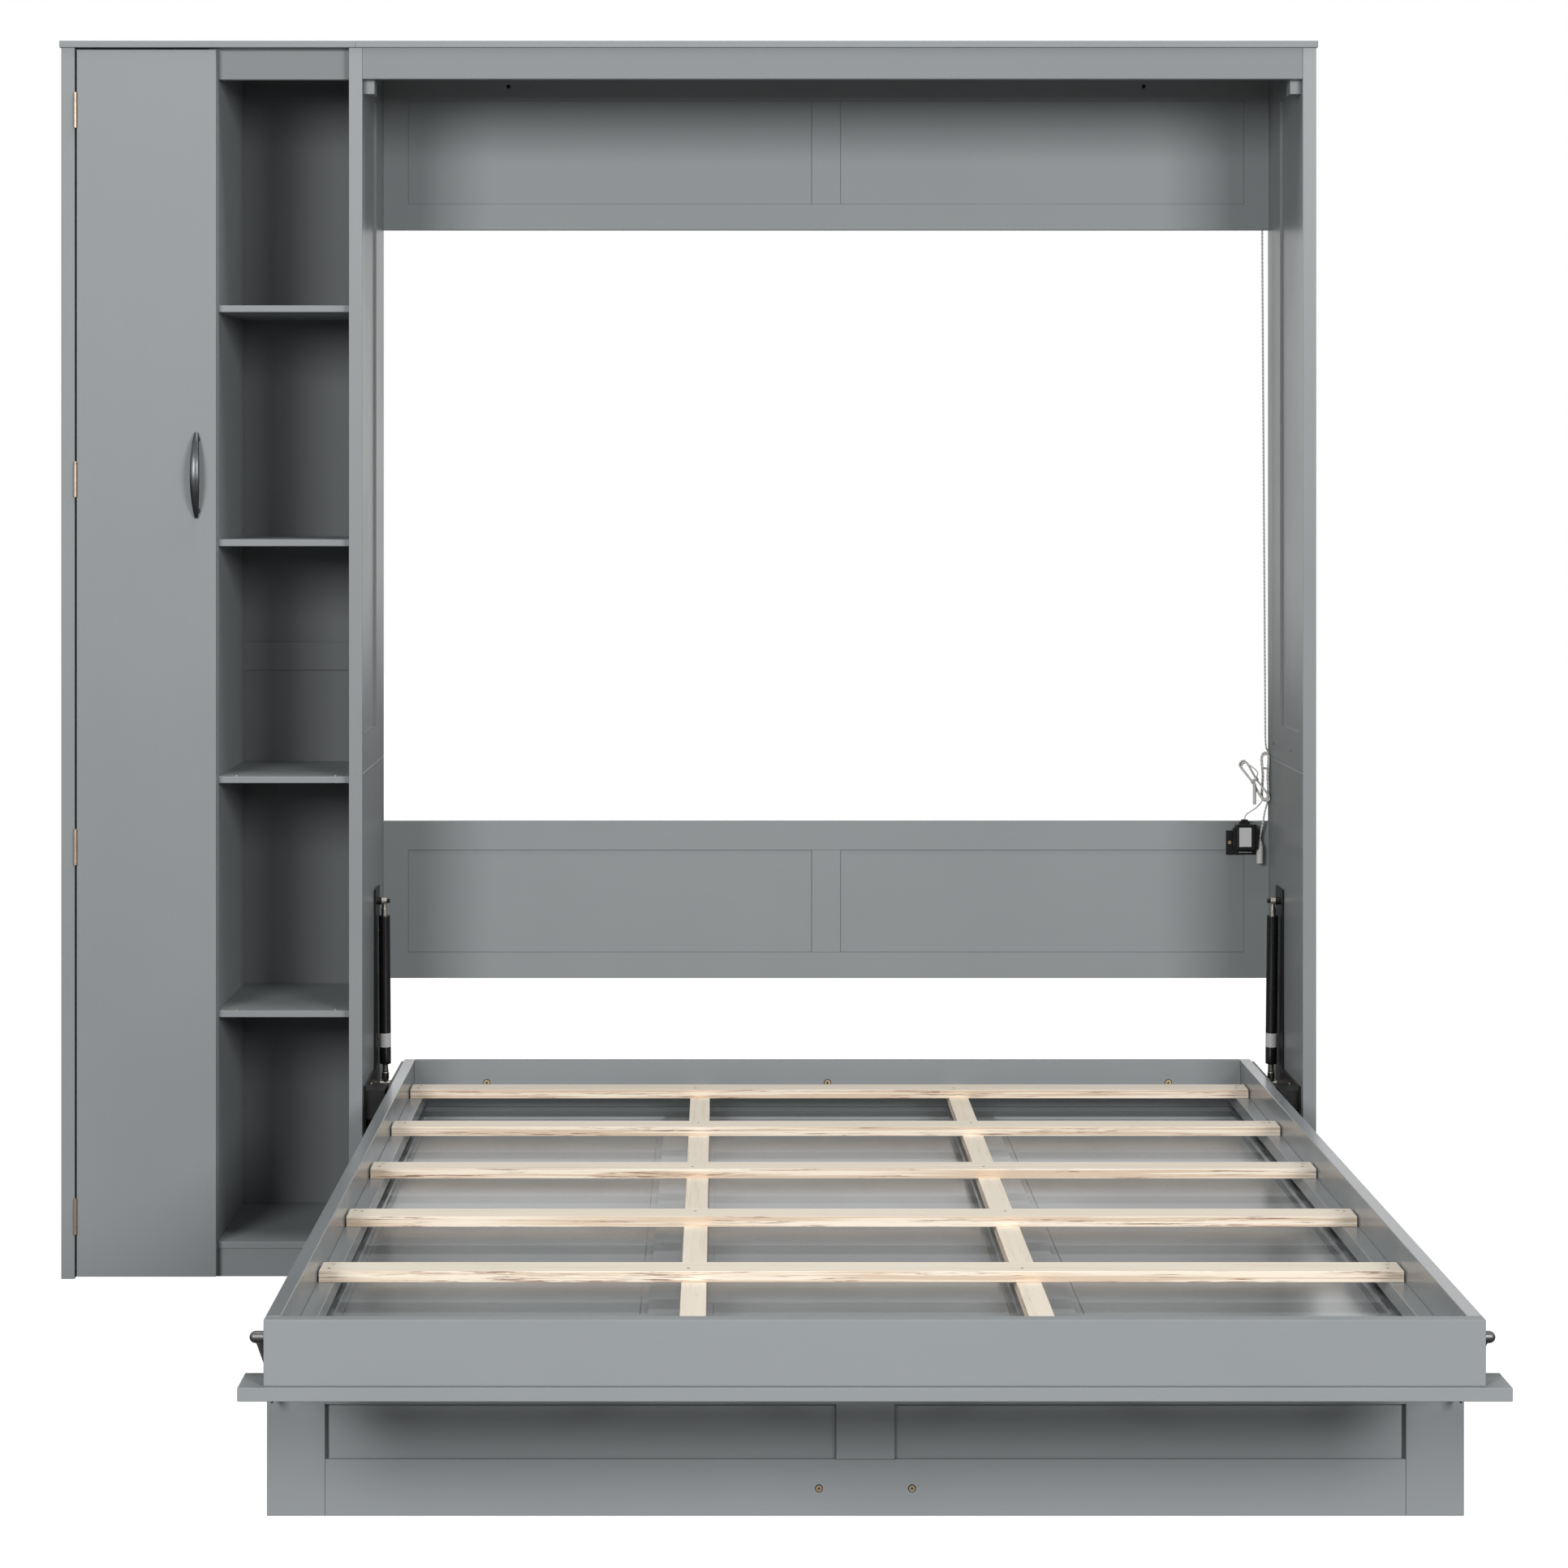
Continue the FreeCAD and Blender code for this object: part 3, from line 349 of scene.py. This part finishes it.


# The back boards and the leg carry seam hairlines of painted shade.
PAINT_UPPER = grey_paint("grey_paint_upper_board", "X", shaded_seams=frame_seam_shades(1.894, 2.192), seam_shade_dark=0.4)
PAINT_LOWER = grey_paint("grey_paint_lower_board", "X", shaded_seams=frame_seam_shades(0.481, 0.777), seam_shade_dark=0.4)
PAINT_LEG = grey_paint("grey_paint_leg", "X", shaded_seams=leg_seam_shades())
WOOD_ACROSS = bare_wood("slat_wood_across", "X")
WOOD_ALONG = bare_wood("slat_wood_along", "Y")
BLACK_STEEL = coated_steel("black_powder_coat", (0.0065, 0.0065, 0.0070), 0.36)
NICKEL = plated("nickel", (0.60, 0.57, 0.51))
STAY_GREY = plated("stay_steel", (0.13, 0.13, 0.13), 0.34)
HINGE_BRASS = plated("hinge_plating", (0.40, 0.31, 0.23), 0.36)
SCREW_BRASS = plated("screw_plating", (0.56, 0.44, 0.27), 0.3, (500, 500, 500))
GUNMETAL = plated("gunmetal", (0.085, 0.087, 0.092), 0.26, (900, 900, 60))
BLACK_PLASTIC = plastic("adaptor_plastic", (0.008, 0.008, 0.009), 0.34, 700, 0.25)
WHITE_PLASTIC = plastic("connector_plastic", (0.62, 0.62, 0.60), 0.4)
LABEL = plastic("blank_label", (0.66, 0.66, 0.66), 0.5, 1500)
# Both leads take dashes of painted shade: deep on the twisted lead, faint on the smooth one.
TWISTED_LEAD = lead_jacket("twisted_lead", (0.74, 0.73, 0.70), (0.16, 0.16, 0.155), 900)
SMOOTH_LEAD = lead_jacket("smooth_lead", (0.76, 0.75, 0.72), (0.42, 0.42, 0.41), 300)
NAIL = plastic("nail_mark", (0.16, 0.09, 0.05), 0.6)
# Near-black finish for marks of painted shade: screw countersinks and drives, and pilot holes.
PAINTED_SHADE = plastic("screw_shadow", (0.012, 0.011, 0.010), 0.7, 700, 0.1)

DRESS = {
    PAINT_UP: "closet_side closet_partition closet_door stop_blocks",
    PAINT_SIDE: "divider_upper divider_lower right_side_upper right_side_lower",
    PAINT_FASCIA_SHADED: "fascia_bed fascia_shelves",
    PAINT_WIDE: ("top_board_closet top_board_bed bay_shelf_1 bay_shelf_2 bay_shelf_3 bay_shelf_4 "
                 "unit_floor kick_board bed_foot_board bed_head_board face_plank"),
    PAINT_UPPER: "back_board_upper",
    PAINT_LOWER: "back_board_lower",
    PAINT_LEG: "leg_frame leg_panels",
    PAINT_GLOSS: "face_frame face_panels",
    PAINT_RAIL: "bed_rail_left bed_rail_right bed_cleats",
    PAINT_BACK_SHADED: "closet_back",
    WOOD_ACROSS: "cross_slats",
    WOOD_ALONG: "long_slats",
    BLACK_STEEL: "pivot_plates bed_brackets stay_lugs",
    STAY_GREY: "stay_tubes stay_rods stay_studs",
    NICKEL: "strut_rod_left strut_rod_right",
    HINGE_BRASS: ("closet_hinge_frame_leaves closet_hinge_door_leaves "
                  "leg_hinge_bed_leaves leg_hinge_leg_leaves"),
    SCREW_BRASS: "bed_screws leg_handle_screws cabinet_screws",
    GUNMETAL: "door_handle leg_handle",
    BLACK_PLASTIC: "adaptor_plate adaptor_box",
    WHITE_PLASTIC: "light_connector adaptor_plug",
}


def dress(node, finish):
    """Gives a CAD node its material."""
    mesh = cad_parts[node].data
    mesh.materials.clear()
    mesh.materials.append(finish)


for finish, names in DRESS.items():
    for name in names.split():
        dress(name, finish)
for side, name in ((-1, "strut_cylinder_left"), (1, "strut_cylinder_right")):
    upper, lower = spot(side * 820, 240, 645), spot(side * 820, 262, 305)
    dress(name, strut_finish("finish_" + name, upper, lower))


# ---------------------------------------------------------------- mesh helpers

def piece(name, mesh, finish, body, smooth=True):
    """A finished piece that rides on a CAD body."""
    data = bpy.data.meshes.new(name)
    mesh.to_mesh(data)
    mesh.free()
    data.materials.append(finish)
    for face in data.polygons:
        face.use_smooth = smooth
    thing = bpy.data.objects.new(name, data)
    bpy.context.scene.collection.objects.link(thing)
    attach(thing, body)
    return thing


def turned(mesh, profile, matrix, steps=24):
    """Adds a turned shape: a profile of (radius, height) pairs spun about local Z."""
    rings = []
    for radius, height in profile:
        ring = []
        for step in range(steps):
            angle = 2 * math.pi * step / steps
            point = Vector((radius * math.cos(angle), radius * math.sin(angle), height))
            ring.append(mesh.verts.new(matrix @ point))
        rings.append(ring)
    for low, high in zip(rings, rings[1:]):
        for step in range(steps):
            after = (step + 1) % steps
            mesh.faces.new((low[step], low[after], high[after], high[step]))
    mesh.faces.new(list(reversed(rings[0])))
    mesh.faces.new(rings[-1])


def turned_to(place, outward, scale=0.001):
    """The matrix that stands a shape made in millimetres on a point, facing outward."""
    turn = Vector(outward).to_track_quat("Z", "Y").to_matrix().to_4x4()
    return Matrix.Translation(place) @ turn @ Matrix.Scale(scale, 4)


# ---------------------------------------------------------------- leads

LIGHT_WIDE = 0.0034
ADAPTOR_WIDE = 0.0026
# The light's hank ends, and the adaptor's begins, part of the way round a turn.
LIGHT_LOOP_END = 53
ADAPTOR_LOOP_START = 9


def lead_curve(name, points, diameter, finish, body):
    """A smooth lead through given control points."""
    curve = bpy.data.curves.new(name, "CURVE")
    curve.dimensions = "3D"
    curve.bevel_depth = diameter / 2
    curve.bevel_resolution = 4
    curve.resolution_u = 8
    curve.use_fill_caps = True
    line = curve.splines.new("NURBS")
    line.points.add(len(points) - 1)
    for target, point in zip(line.points, points):
        target.co = (*point, 1)
    line.order_u = 3
    line.use_endpoint_u = True
    curve.materials.append(finish)
    thing = bpy.data.objects.new(name, curve)
    bpy.context.scene.collection.objects.link(thing)
    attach(thing, body)
    return thing


# The widths of a hank's turn at its shoulders, waist, foot, top and the top of its left side,
# as shares of its half width, and the turn's control points before and over its top.
SHOULDER, WAIST, FOOT_BULGE, TOP_BULGE, TOP_LEFT = 0.84, 0.6, 1.06, 1.12, 1.08
STEPS_BEFORE_TOP, STEPS_OVER_TOP = 11, 5


def hank_turns(centre, up, across, turns):
    """
    Control points of a hank's turns. Each turn is (half width, half height, depth, next depth)
    in millimetres: down its right side, round the foot, up its left side and over the top.
    """
    points = []
    for wide, high, depth, following in turns:
        bare = high - wide
        outline = [(1.0, bare), (SHOULDER, bare * 0.5), (WAIST, 0), (SHOULDER, -bare * 0.5), (1.0, -bare)]
        for angle in (-45, -90, -135):
            turn = math.radians(angle)
            outline.append((FOOT_BULGE * math.cos(turn), -bare + FOOT_BULGE * wide * math.sin(turn)))
        outline += [(-1.0, -bare), (-SHOULDER, -bare * 0.5), (-WAIST, 0), (-SHOULDER, bare * 0.5),
                    (-TOP_LEFT, bare)]
        for angle in (135, 90, 45):
            turn = math.radians(angle)
            outline.append((TOP_BULGE * math.cos(turn), bare + TOP_BULGE * wide * math.sin(turn)))
        for index, (a, b) in enumerate(outline):
            share = max(0, index - STEPS_BEFORE_TOP) / STEPS_OVER_TOP
            back = Vector((0, (depth + (following - depth) * share) / 1000, 0))
            points.append(centre + (across * a * wide + up * b) / 1000 + back)
    return points


LIGHT_DOWN = [spot(825, 403, 1893.9), spot(825, 402.5, 1835), spot(828, 385, 980), spot(828, 383.5, 917),
              spot(834, 388.7, 911)]
light_loops = hank_turns(spot(828, 383.4, 862), Vector((0, 0, 1)), Vector((1, 0, 0)),
                         [(6.9, 43, 5.2, 1.7), (6.0, 46, 1.7, -1.8),
                          (6.4, 42, -1.8, -5.3), (6.2, 44, -5.3, -5.3)])
LIGHT_TAIL = [spot(831, 379.5, 813), spot(827, 382.5, 798), spot(823, 381, 774), spot(817, 380, 752),
              spot(817, 380, 733)]
light_points = LIGHT_DOWN + light_loops[:LIGHT_LOOP_END] + LIGHT_TAIL
light = lead_curve("light_lead_strand", light_points, LIGHT_WIDE, TWISTED_LEAD, "cabinet")
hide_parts("light_lead", "light_hank")

LEAN = Vector((-50, 0, 75)).normalized()
SIDE = Vector((75, 0, 50)).normalized()
ADAPTOR_UP = [spot(788, 379, 779), spot(788, 379, 788.5), spot(797, 377.5, 796), spot(808, 375, 803),
              spot(817, 372.5, 812), spot(822, 371, 822)]
adaptor_loops = hank_turns(spot(805, 366.3, 856), LEAN, SIDE,
                           [(6.4, 41, 5.2, 2.5), (8.0, 44, 2.5, -0.2), (6.0, 39, -0.2, -2.9),
                            (7.6, 45, -2.9, -5.6), (6.0, 41, -5.6, -8.2)])
ADAPTOR_TAIL = [spot(812.5, 358.2, 873), spot(806.5, 358.0, 863), spot(804, 358.6, 855), spot(804, 359, 846)]
adaptor_points = ADAPTOR_UP + adaptor_loops[ADAPTOR_LOOP_START:] + ADAPTOR_TAIL
adaptor = lead_curve("adaptor_lead_strand", adaptor_points, ADAPTOR_WIDE, SMOOTH_LEAD,
                     "cabinet")
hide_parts("adaptor_lead", "adaptor_hank")


def tie(name, centre, up, across, half_wide, half_deep):
    """A wire tie: three uneven turns round a hank."""
    mesh = bmesh.new()
    depth = up.cross(across)
    previous, first = None, None
    turns, climb, wobble = 3, 0.0055, 0.0004
    steps, around, thick = 90, 8, 0.0006
    for step in range(steps + 1):
        angle = 2 * math.pi * turns * step / steps
        rise = (step / steps - 0.5) * climb + wobble * math.sin(angle * 1.7)
        middle = centre + across * (half_wide * math.cos(angle)) + depth * (half_deep * math.sin(angle))
        middle += up * rise
        out = (across * math.cos(angle) + depth * math.sin(angle)).normalized()
        ring = []
        for part in range(around):
            turn = 2 * math.pi * part / around
            ring.append(mesh.verts.new(middle + (out * math.cos(turn) + up * math.sin(turn)) * thick))
        if previous:
            for part in range(around):
                after = (part + 1) % around
                mesh.faces.new((previous[part], previous[after], ring[after], ring[part]))
        else:
            first = ring
        previous = ring
    mesh.faces.new(first)
    mesh.faces.new(list(reversed(previous)))
    bmesh.ops.recalc_face_normals(mesh, faces=mesh.faces)
    return piece(name, mesh, WHITE_PLASTIC, "cabinet")


light_tie = tie("light_tie", spot(828, 383.4, 878), Vector((0, 0, 1)), Vector((1, 0, 0)), 0.0072, 0.0082)
adaptor_tie = tie("adaptor_tie", spot(805, 365.0, 857), LEAN, SIDE, 0.0074, 0.0094)


def length_of(thing):
    """The length of a lead's own spline, in metres."""
    bare = bpy.data.objects.new("bare", thing.data.copy())
    bare.data.bevel_depth = 0
    line = bpy.data.meshes.new_from_object(bare)
    total = sum((line.vertices[i].co - line.vertices[i + 1].co).length for i in range(len(line.vertices) - 1))
    bpy.data.curves.remove(bare.data)
    bpy.data.meshes.remove(line)
    return total


length_of(light)
length_of(adaptor)


# ---------------------------------------------------------------- small details

def bar_shape(mesh, place, size, soft):
    """Adds a small block with softened edges; place is its centre."""
    made = bmesh.ops.create_cube(mesh, size=1.0)
    for vert in made["verts"]:
        vert.co = Vector(place) + Vector(part * whole for part, whole in zip(vert.co, size))
    edges = list(dict.fromkeys(edge for vert in made["verts"] for edge in vert.link_edges))
    bmesh.ops.bevel(mesh, geom=edges, offset=soft, segments=2, affect="EDGES")


SLATS, FIRST_SLAT, SLAT_PITCH, SLAT_TOP = 5, 442, 377.3, 305.0


def nail_marks():
    """Small sunk nail heads near the slats' ends and where the slats cross."""
    mesh = bmesh.new()
    for number in range(SLATS):
        along = FIRST_SLAT + SLAT_PITCH * number
        for u in (-753, -243, 231, 750):
            shift = 5 if number % 2 else -2
            centre = bed_spot(u + shift, along + 26 + 3 * shift, SLAT_TOP)
            turned(mesh, [(2.3, -0.2), (2.3, 0.12), (1.6, 0.2)], turned_to(centre, (0, 0, 1)), 14)
            if abs(u) > 700:
                scar = bed_spot(u - shift, along + 44, SLAT_TOP + 0.05)
                bar_shape(mesh, scar, (0.0060, 0.0014, 0.0004), 0.0001)
    return piece("slat_nail_marks", mesh, NAIL, "bed")


SCREW_PROUD = 0.0013
CROSS_WIDE = 0.26
RING_STEPS = 28


def screw_shade_trims(name, body, places):
    """Dark rings of painted shade for the countersinks round screw heads, and dark crosses of painted shade
    for their sunk drives.
    """
    mesh = bmesh.new()
    for place, outward, radius in places:
        matrix = turned_to(place, outward)
        for long, short in ((1.0, CROSS_WIDE), (CROSS_WIDE, 1.0)):
            size = (long * radius / 1000, 0.0002, short * radius / 1000)
            bar_shape(mesh, place + Vector(outward) * SCREW_PROUD, size, 0.00004)
        ring = [(radius + 0.1, 0.0), (radius + 1.3, 0.0), (radius + 1.1, 0.25), (radius + 0.2, 0.35)]
        loops = []
        for wide, high in ring:
            loop = []
            for step in range(RING_STEPS):
                angle = 2 * math.pi * step / RING_STEPS
                point = Vector((wide * math.cos(angle), wide * math.sin(angle), high))
                loop.append(mesh.verts.new(matrix @ point))
            loops.append(loop)
        for low, high in zip(loops, loops[1:] + loops[:1]):
            for step in range(RING_STEPS):
                after = (step + 1) % RING_STEPS
                mesh.faces.new((low[step], low[after], high[after], high[step]))
    bmesh.ops.recalc_face_normals(mesh, faces=mesh.faces)
    return piece(name, mesh, PAINTED_SHADE, body)


TOWARD_FRONT = (0, -1, 0)
nail_marks()
# Each screw gets a ring and a cross of painted shade.
for name, body, places, radius in (
        ("head_board_screw_shade_rings", "bed", [bed_spot(u, 2066, 298.5) for u in (-635, 0, 635)], 5.5),
        ("leg_screw_shade_rings", "leg", [bed_spot(u, 298.5, 38) for u in (-64, 64)], 4.2),
        ("adaptor_screw_shade_rings", "cabinet", [spot(u, 391, 737.5) for u in (761.5, 814.5)], 3.2)):
    screw_shade_trims(name, body, [(place, TOWARD_FRONT, radius) for place in places])


def adaptor_dressing():
    """The adaptor's wide gland, the stepped shoulders of its case, its blank label and its slot."""
    mesh = bmesh.new()
    bar_shape(mesh, spot(788, 379, 774.5), (0.020, 0.013, 0.009), 0.0016)
    bar_shape(mesh, spot(788, 379, 779.5), (0.013, 0.011, 0.005), 0.0012)
    bar_shape(mesh, spot(769.8, 379.5, 746), (0.006, 0.021, 0.040), 0.0015)
    bar_shape(mesh, spot(810.2, 379.5, 746), (0.006, 0.021, 0.040), 0.0015)
    for z in (727.2, 771):
        bar_shape(mesh, spot(790, 366.9, z), (0.034, 0.0012, 0.0022), 0.0004)
    piece("adaptor_shoulders", mesh, BLACK_PLASTIC, "cabinet", False)
    mesh = bmesh.new()
    bar_shape(mesh, spot(788, 366.8, 749.5), (0.023, 0.0008, 0.036), 0.0003)
    piece("adaptor_blank_label", mesh, LABEL, "cabinet", False)
    mesh = bmesh.new()
    bar_shape(mesh, spot(791, 389.8, 719.2), (0.024, 0.0030, 0.0016), 0.0004)
    piece("adaptor_slot_edge", mesh, WHITE_PLASTIC, "cabinet", False)


def connector_ribs():
    """Grip rings and a stepped collar on the light's connector."""
    mesh = bmesh.new()
    for height, radius in ((722, 6.45), (719, 6.45), (716, 6.45)):
        matrix = turned_to(spot(817, 380, height), (0, 0, 1))
        turned(mesh, [(radius - 0.9, -0.9), (radius, -0.5), (radius, 0.5), (radius - 0.9, 0.9)], matrix)
    matrix = turned_to(spot(817, 380, 733), (0, 0, 1))
    turned(mesh, [(5.2, -1.0), (5.0, 3.0), (4.4, 5.0), (3.0, 8.0), (2.1, 11.0)], matrix)
    return piece("light_connector_grip", mesh, WHITE_PLASTIC, "cabinet")


def sleeve_mouth():
    """The flared mouth of the sleeve that ends the adaptor's lead."""
    mesh = bmesh.new()
    matrix = turned_to(spot(804, 359, 849), (0, 0, 1))
    turned(mesh, [(3.3, -2.0), (3.35, 0.6), (2.9, 1.8), (2.0, 2.6), (1.6, 4.5)], matrix)
    return piece("adaptor_sleeve_mouth", mesh, WHITE_PLASTIC, "cabinet")


def stay_nuts():
    """Domed nuts on the studs that hold the stays to the bed's sides."""
    mesh = bmesh.new()
    for side in (-1, 1):
        matrix = turned_to(bed_spot(side * 809.2, 73, 300), (side, 0, 0))
        dome = [(7.6, 0), (7.8, 1.0), (7.4, 3.0), (6.3, 5.2), (4.4, 7.0), (2.2, 8.0), (0.2, 8.3)]
        turned(mesh, dome, matrix)
    return piece("stay_nuts", mesh, STAY_GREY, "bed")


def side_fillers():
    """Paint-filled joints that keep the side panels' front edges unbroken."""
    mesh = bmesh.new()
    for u in (-849, 849):
        bar_shape(mesh, spot(u, 3.97, 900), (0.0216, 0.0080, 0.0034), 0.00003)
    return piece("side_edge_fillers", mesh, PAINT_SIDE, "cabinet", False)


def pilot_hole_shades():
    """Dark discs of painted shade for two small pilot holes in the right side panel's inner face."""
    mesh = bmesh.new()
    for v, z in ((338, 928), (138, 930)):
        matrix = turned_to(spot(836.9, v, z), (-1, 0, 0))
        turned(mesh, [(2.6, -0.2), (2.6, 0.15), (1.9, 0.2)], matrix, 16)
    return piece("pilot_hole_shades", mesh, PAINTED_SHADE, "cabinet")


def bolt_hole_backs():
    """Discs in the darker painted-shade grey over the rear mouths of the two wall bolt holes, so the holes
    show shade and not the backdrop.
    """
    mesh = bmesh.new()
    for u in (-600, 600):
        matrix = turned_to(spot(u, 411.2, 2165), (0, -1, 0))
        turned(mesh, [(3.96, -0.4), (3.96, 0.2), (3.6, 0.3)], matrix)
    return piece("wall_bolt_hole_shade_discs", mesh, PAINT_BACK_SHADED, "cabinet")


adaptor_dressing()
bolt_hole_backs()
connector_ribs()
sleeve_mouth()
stay_nuts()
side_fillers()
pilot_hole_shades()


# ---------------------------------------------------------------- camera, floor and light

CAMERA_PLACE = (0.0571, -5.7548, 1.431)
FOCAL_LENGTH, SENSOR_WIDE = 83.0, 36.0
SHIFT_ACROSS, SHIFT_UP = 0.0403, -0.1970
FLOOR_HALF, FLOOR_DROP = 20, 0.0005
SKY_FOR_SHADE, SKY_FOR_SIGHT = 0.05, 1.0


def camera():
    """The photo's camera, level and square to the cabinet, with the frame shifted instead."""
    lens = bpy.data.cameras.new("camera")
    lens.lens = FOCAL_LENGTH
    lens.sensor_width = SENSOR_WIDE
    lens.shift_x = SHIFT_ACROSS
    lens.shift_y = SHIFT_UP
    lens.clip_end = 60
    eye = bpy.data.objects.new("camera", lens)
    eye.location = CAMERA_PLACE
    eye.rotation_euler = (math.radians(90), 0, 0)
    bpy.context.scene.collection.objects.link(eye)
    bpy.context.scene.camera = eye


def floor():
    """A wide pale floor, just under the part's feet."""
    mesh = bmesh.new()
    bmesh.ops.create_grid(mesh, x_segments=4, y_segments=4, size=FLOOR_HALF)
    data = bpy.data.meshes.new("floor")
    mesh.to_mesh(data)
    mesh.free()
    data.materials.append(floor_white())
    ground = bpy.data.objects.new("floor", data)
    ground.location.z = -FLOOR_DROP
    bpy.context.scene.collection.objects.link(ground)


def softbox(name, place, aim, wide, high, power):
    """A rectangular lamp, aimed at a point, that the camera doesn't see."""
    lamp = bpy.data.lights.new(name, "AREA")
    lamp.shape = "RECTANGLE"
    lamp.size, lamp.size_y = wide, high
    lamp.energy = power
    lamp.color = (1.0, 0.998, 0.995)
    thing = bpy.data.objects.new(name, lamp)
    thing.visible_camera = False
    thing.location = place
    thing.rotation_euler = (Vector(aim) - Vector(place)).to_track_quat("-Z", "Y").to_euler()
    bpy.context.scene.collection.objects.link(thing)


def surroundings():
    """A white backdrop for the eye and for reflections, which gives little light otherwise."""
    world = bpy.data.worlds.new("studio")
    world.use_nodes = True
    nodes, links = world.node_tree.nodes, world.node_tree.links
    sky = nodes["Background"]
    sky.inputs["Color"].default_value = (1, 1, 1, 1)
    path = nodes.new("ShaderNodeLightPath")
    white = nodes.new("ShaderNodeMath")
    white.operation = "MAXIMUM"
    links.new(path.outputs["Is Camera Ray"], white.inputs[0])
    links.new(path.outputs["Is Glossy Ray"], white.inputs[1])
    strength = nodes.new("ShaderNodeMapRange")
    links.new(white.outputs[0], strength.inputs["Value"])
    strength.inputs["To Min"].default_value = SKY_FOR_SHADE
    strength.inputs["To Max"].default_value = SKY_FOR_SIGHT
    links.new(strength.outputs[0], sky.inputs["Strength"])
    bpy.context.scene.world = world
    bpy.context.scene.view_settings.view_transform = "Standard"


camera()
floor()
surroundings()
softbox("softbox_left", (-2.9, -6.2, 3.0), (0.0, 0.3, 0.8), 2.2, 2.2, 325)
softbox("softbox_right", (3.4, -6.2, 3.0), (0.3, 0.3, 0.8), 2.2, 2.2, 325)
softbox("softbox_top", (0.2, 0.15, 4.4), (0.2, 0.15, 0.0), 2.4, 0.9, 60)
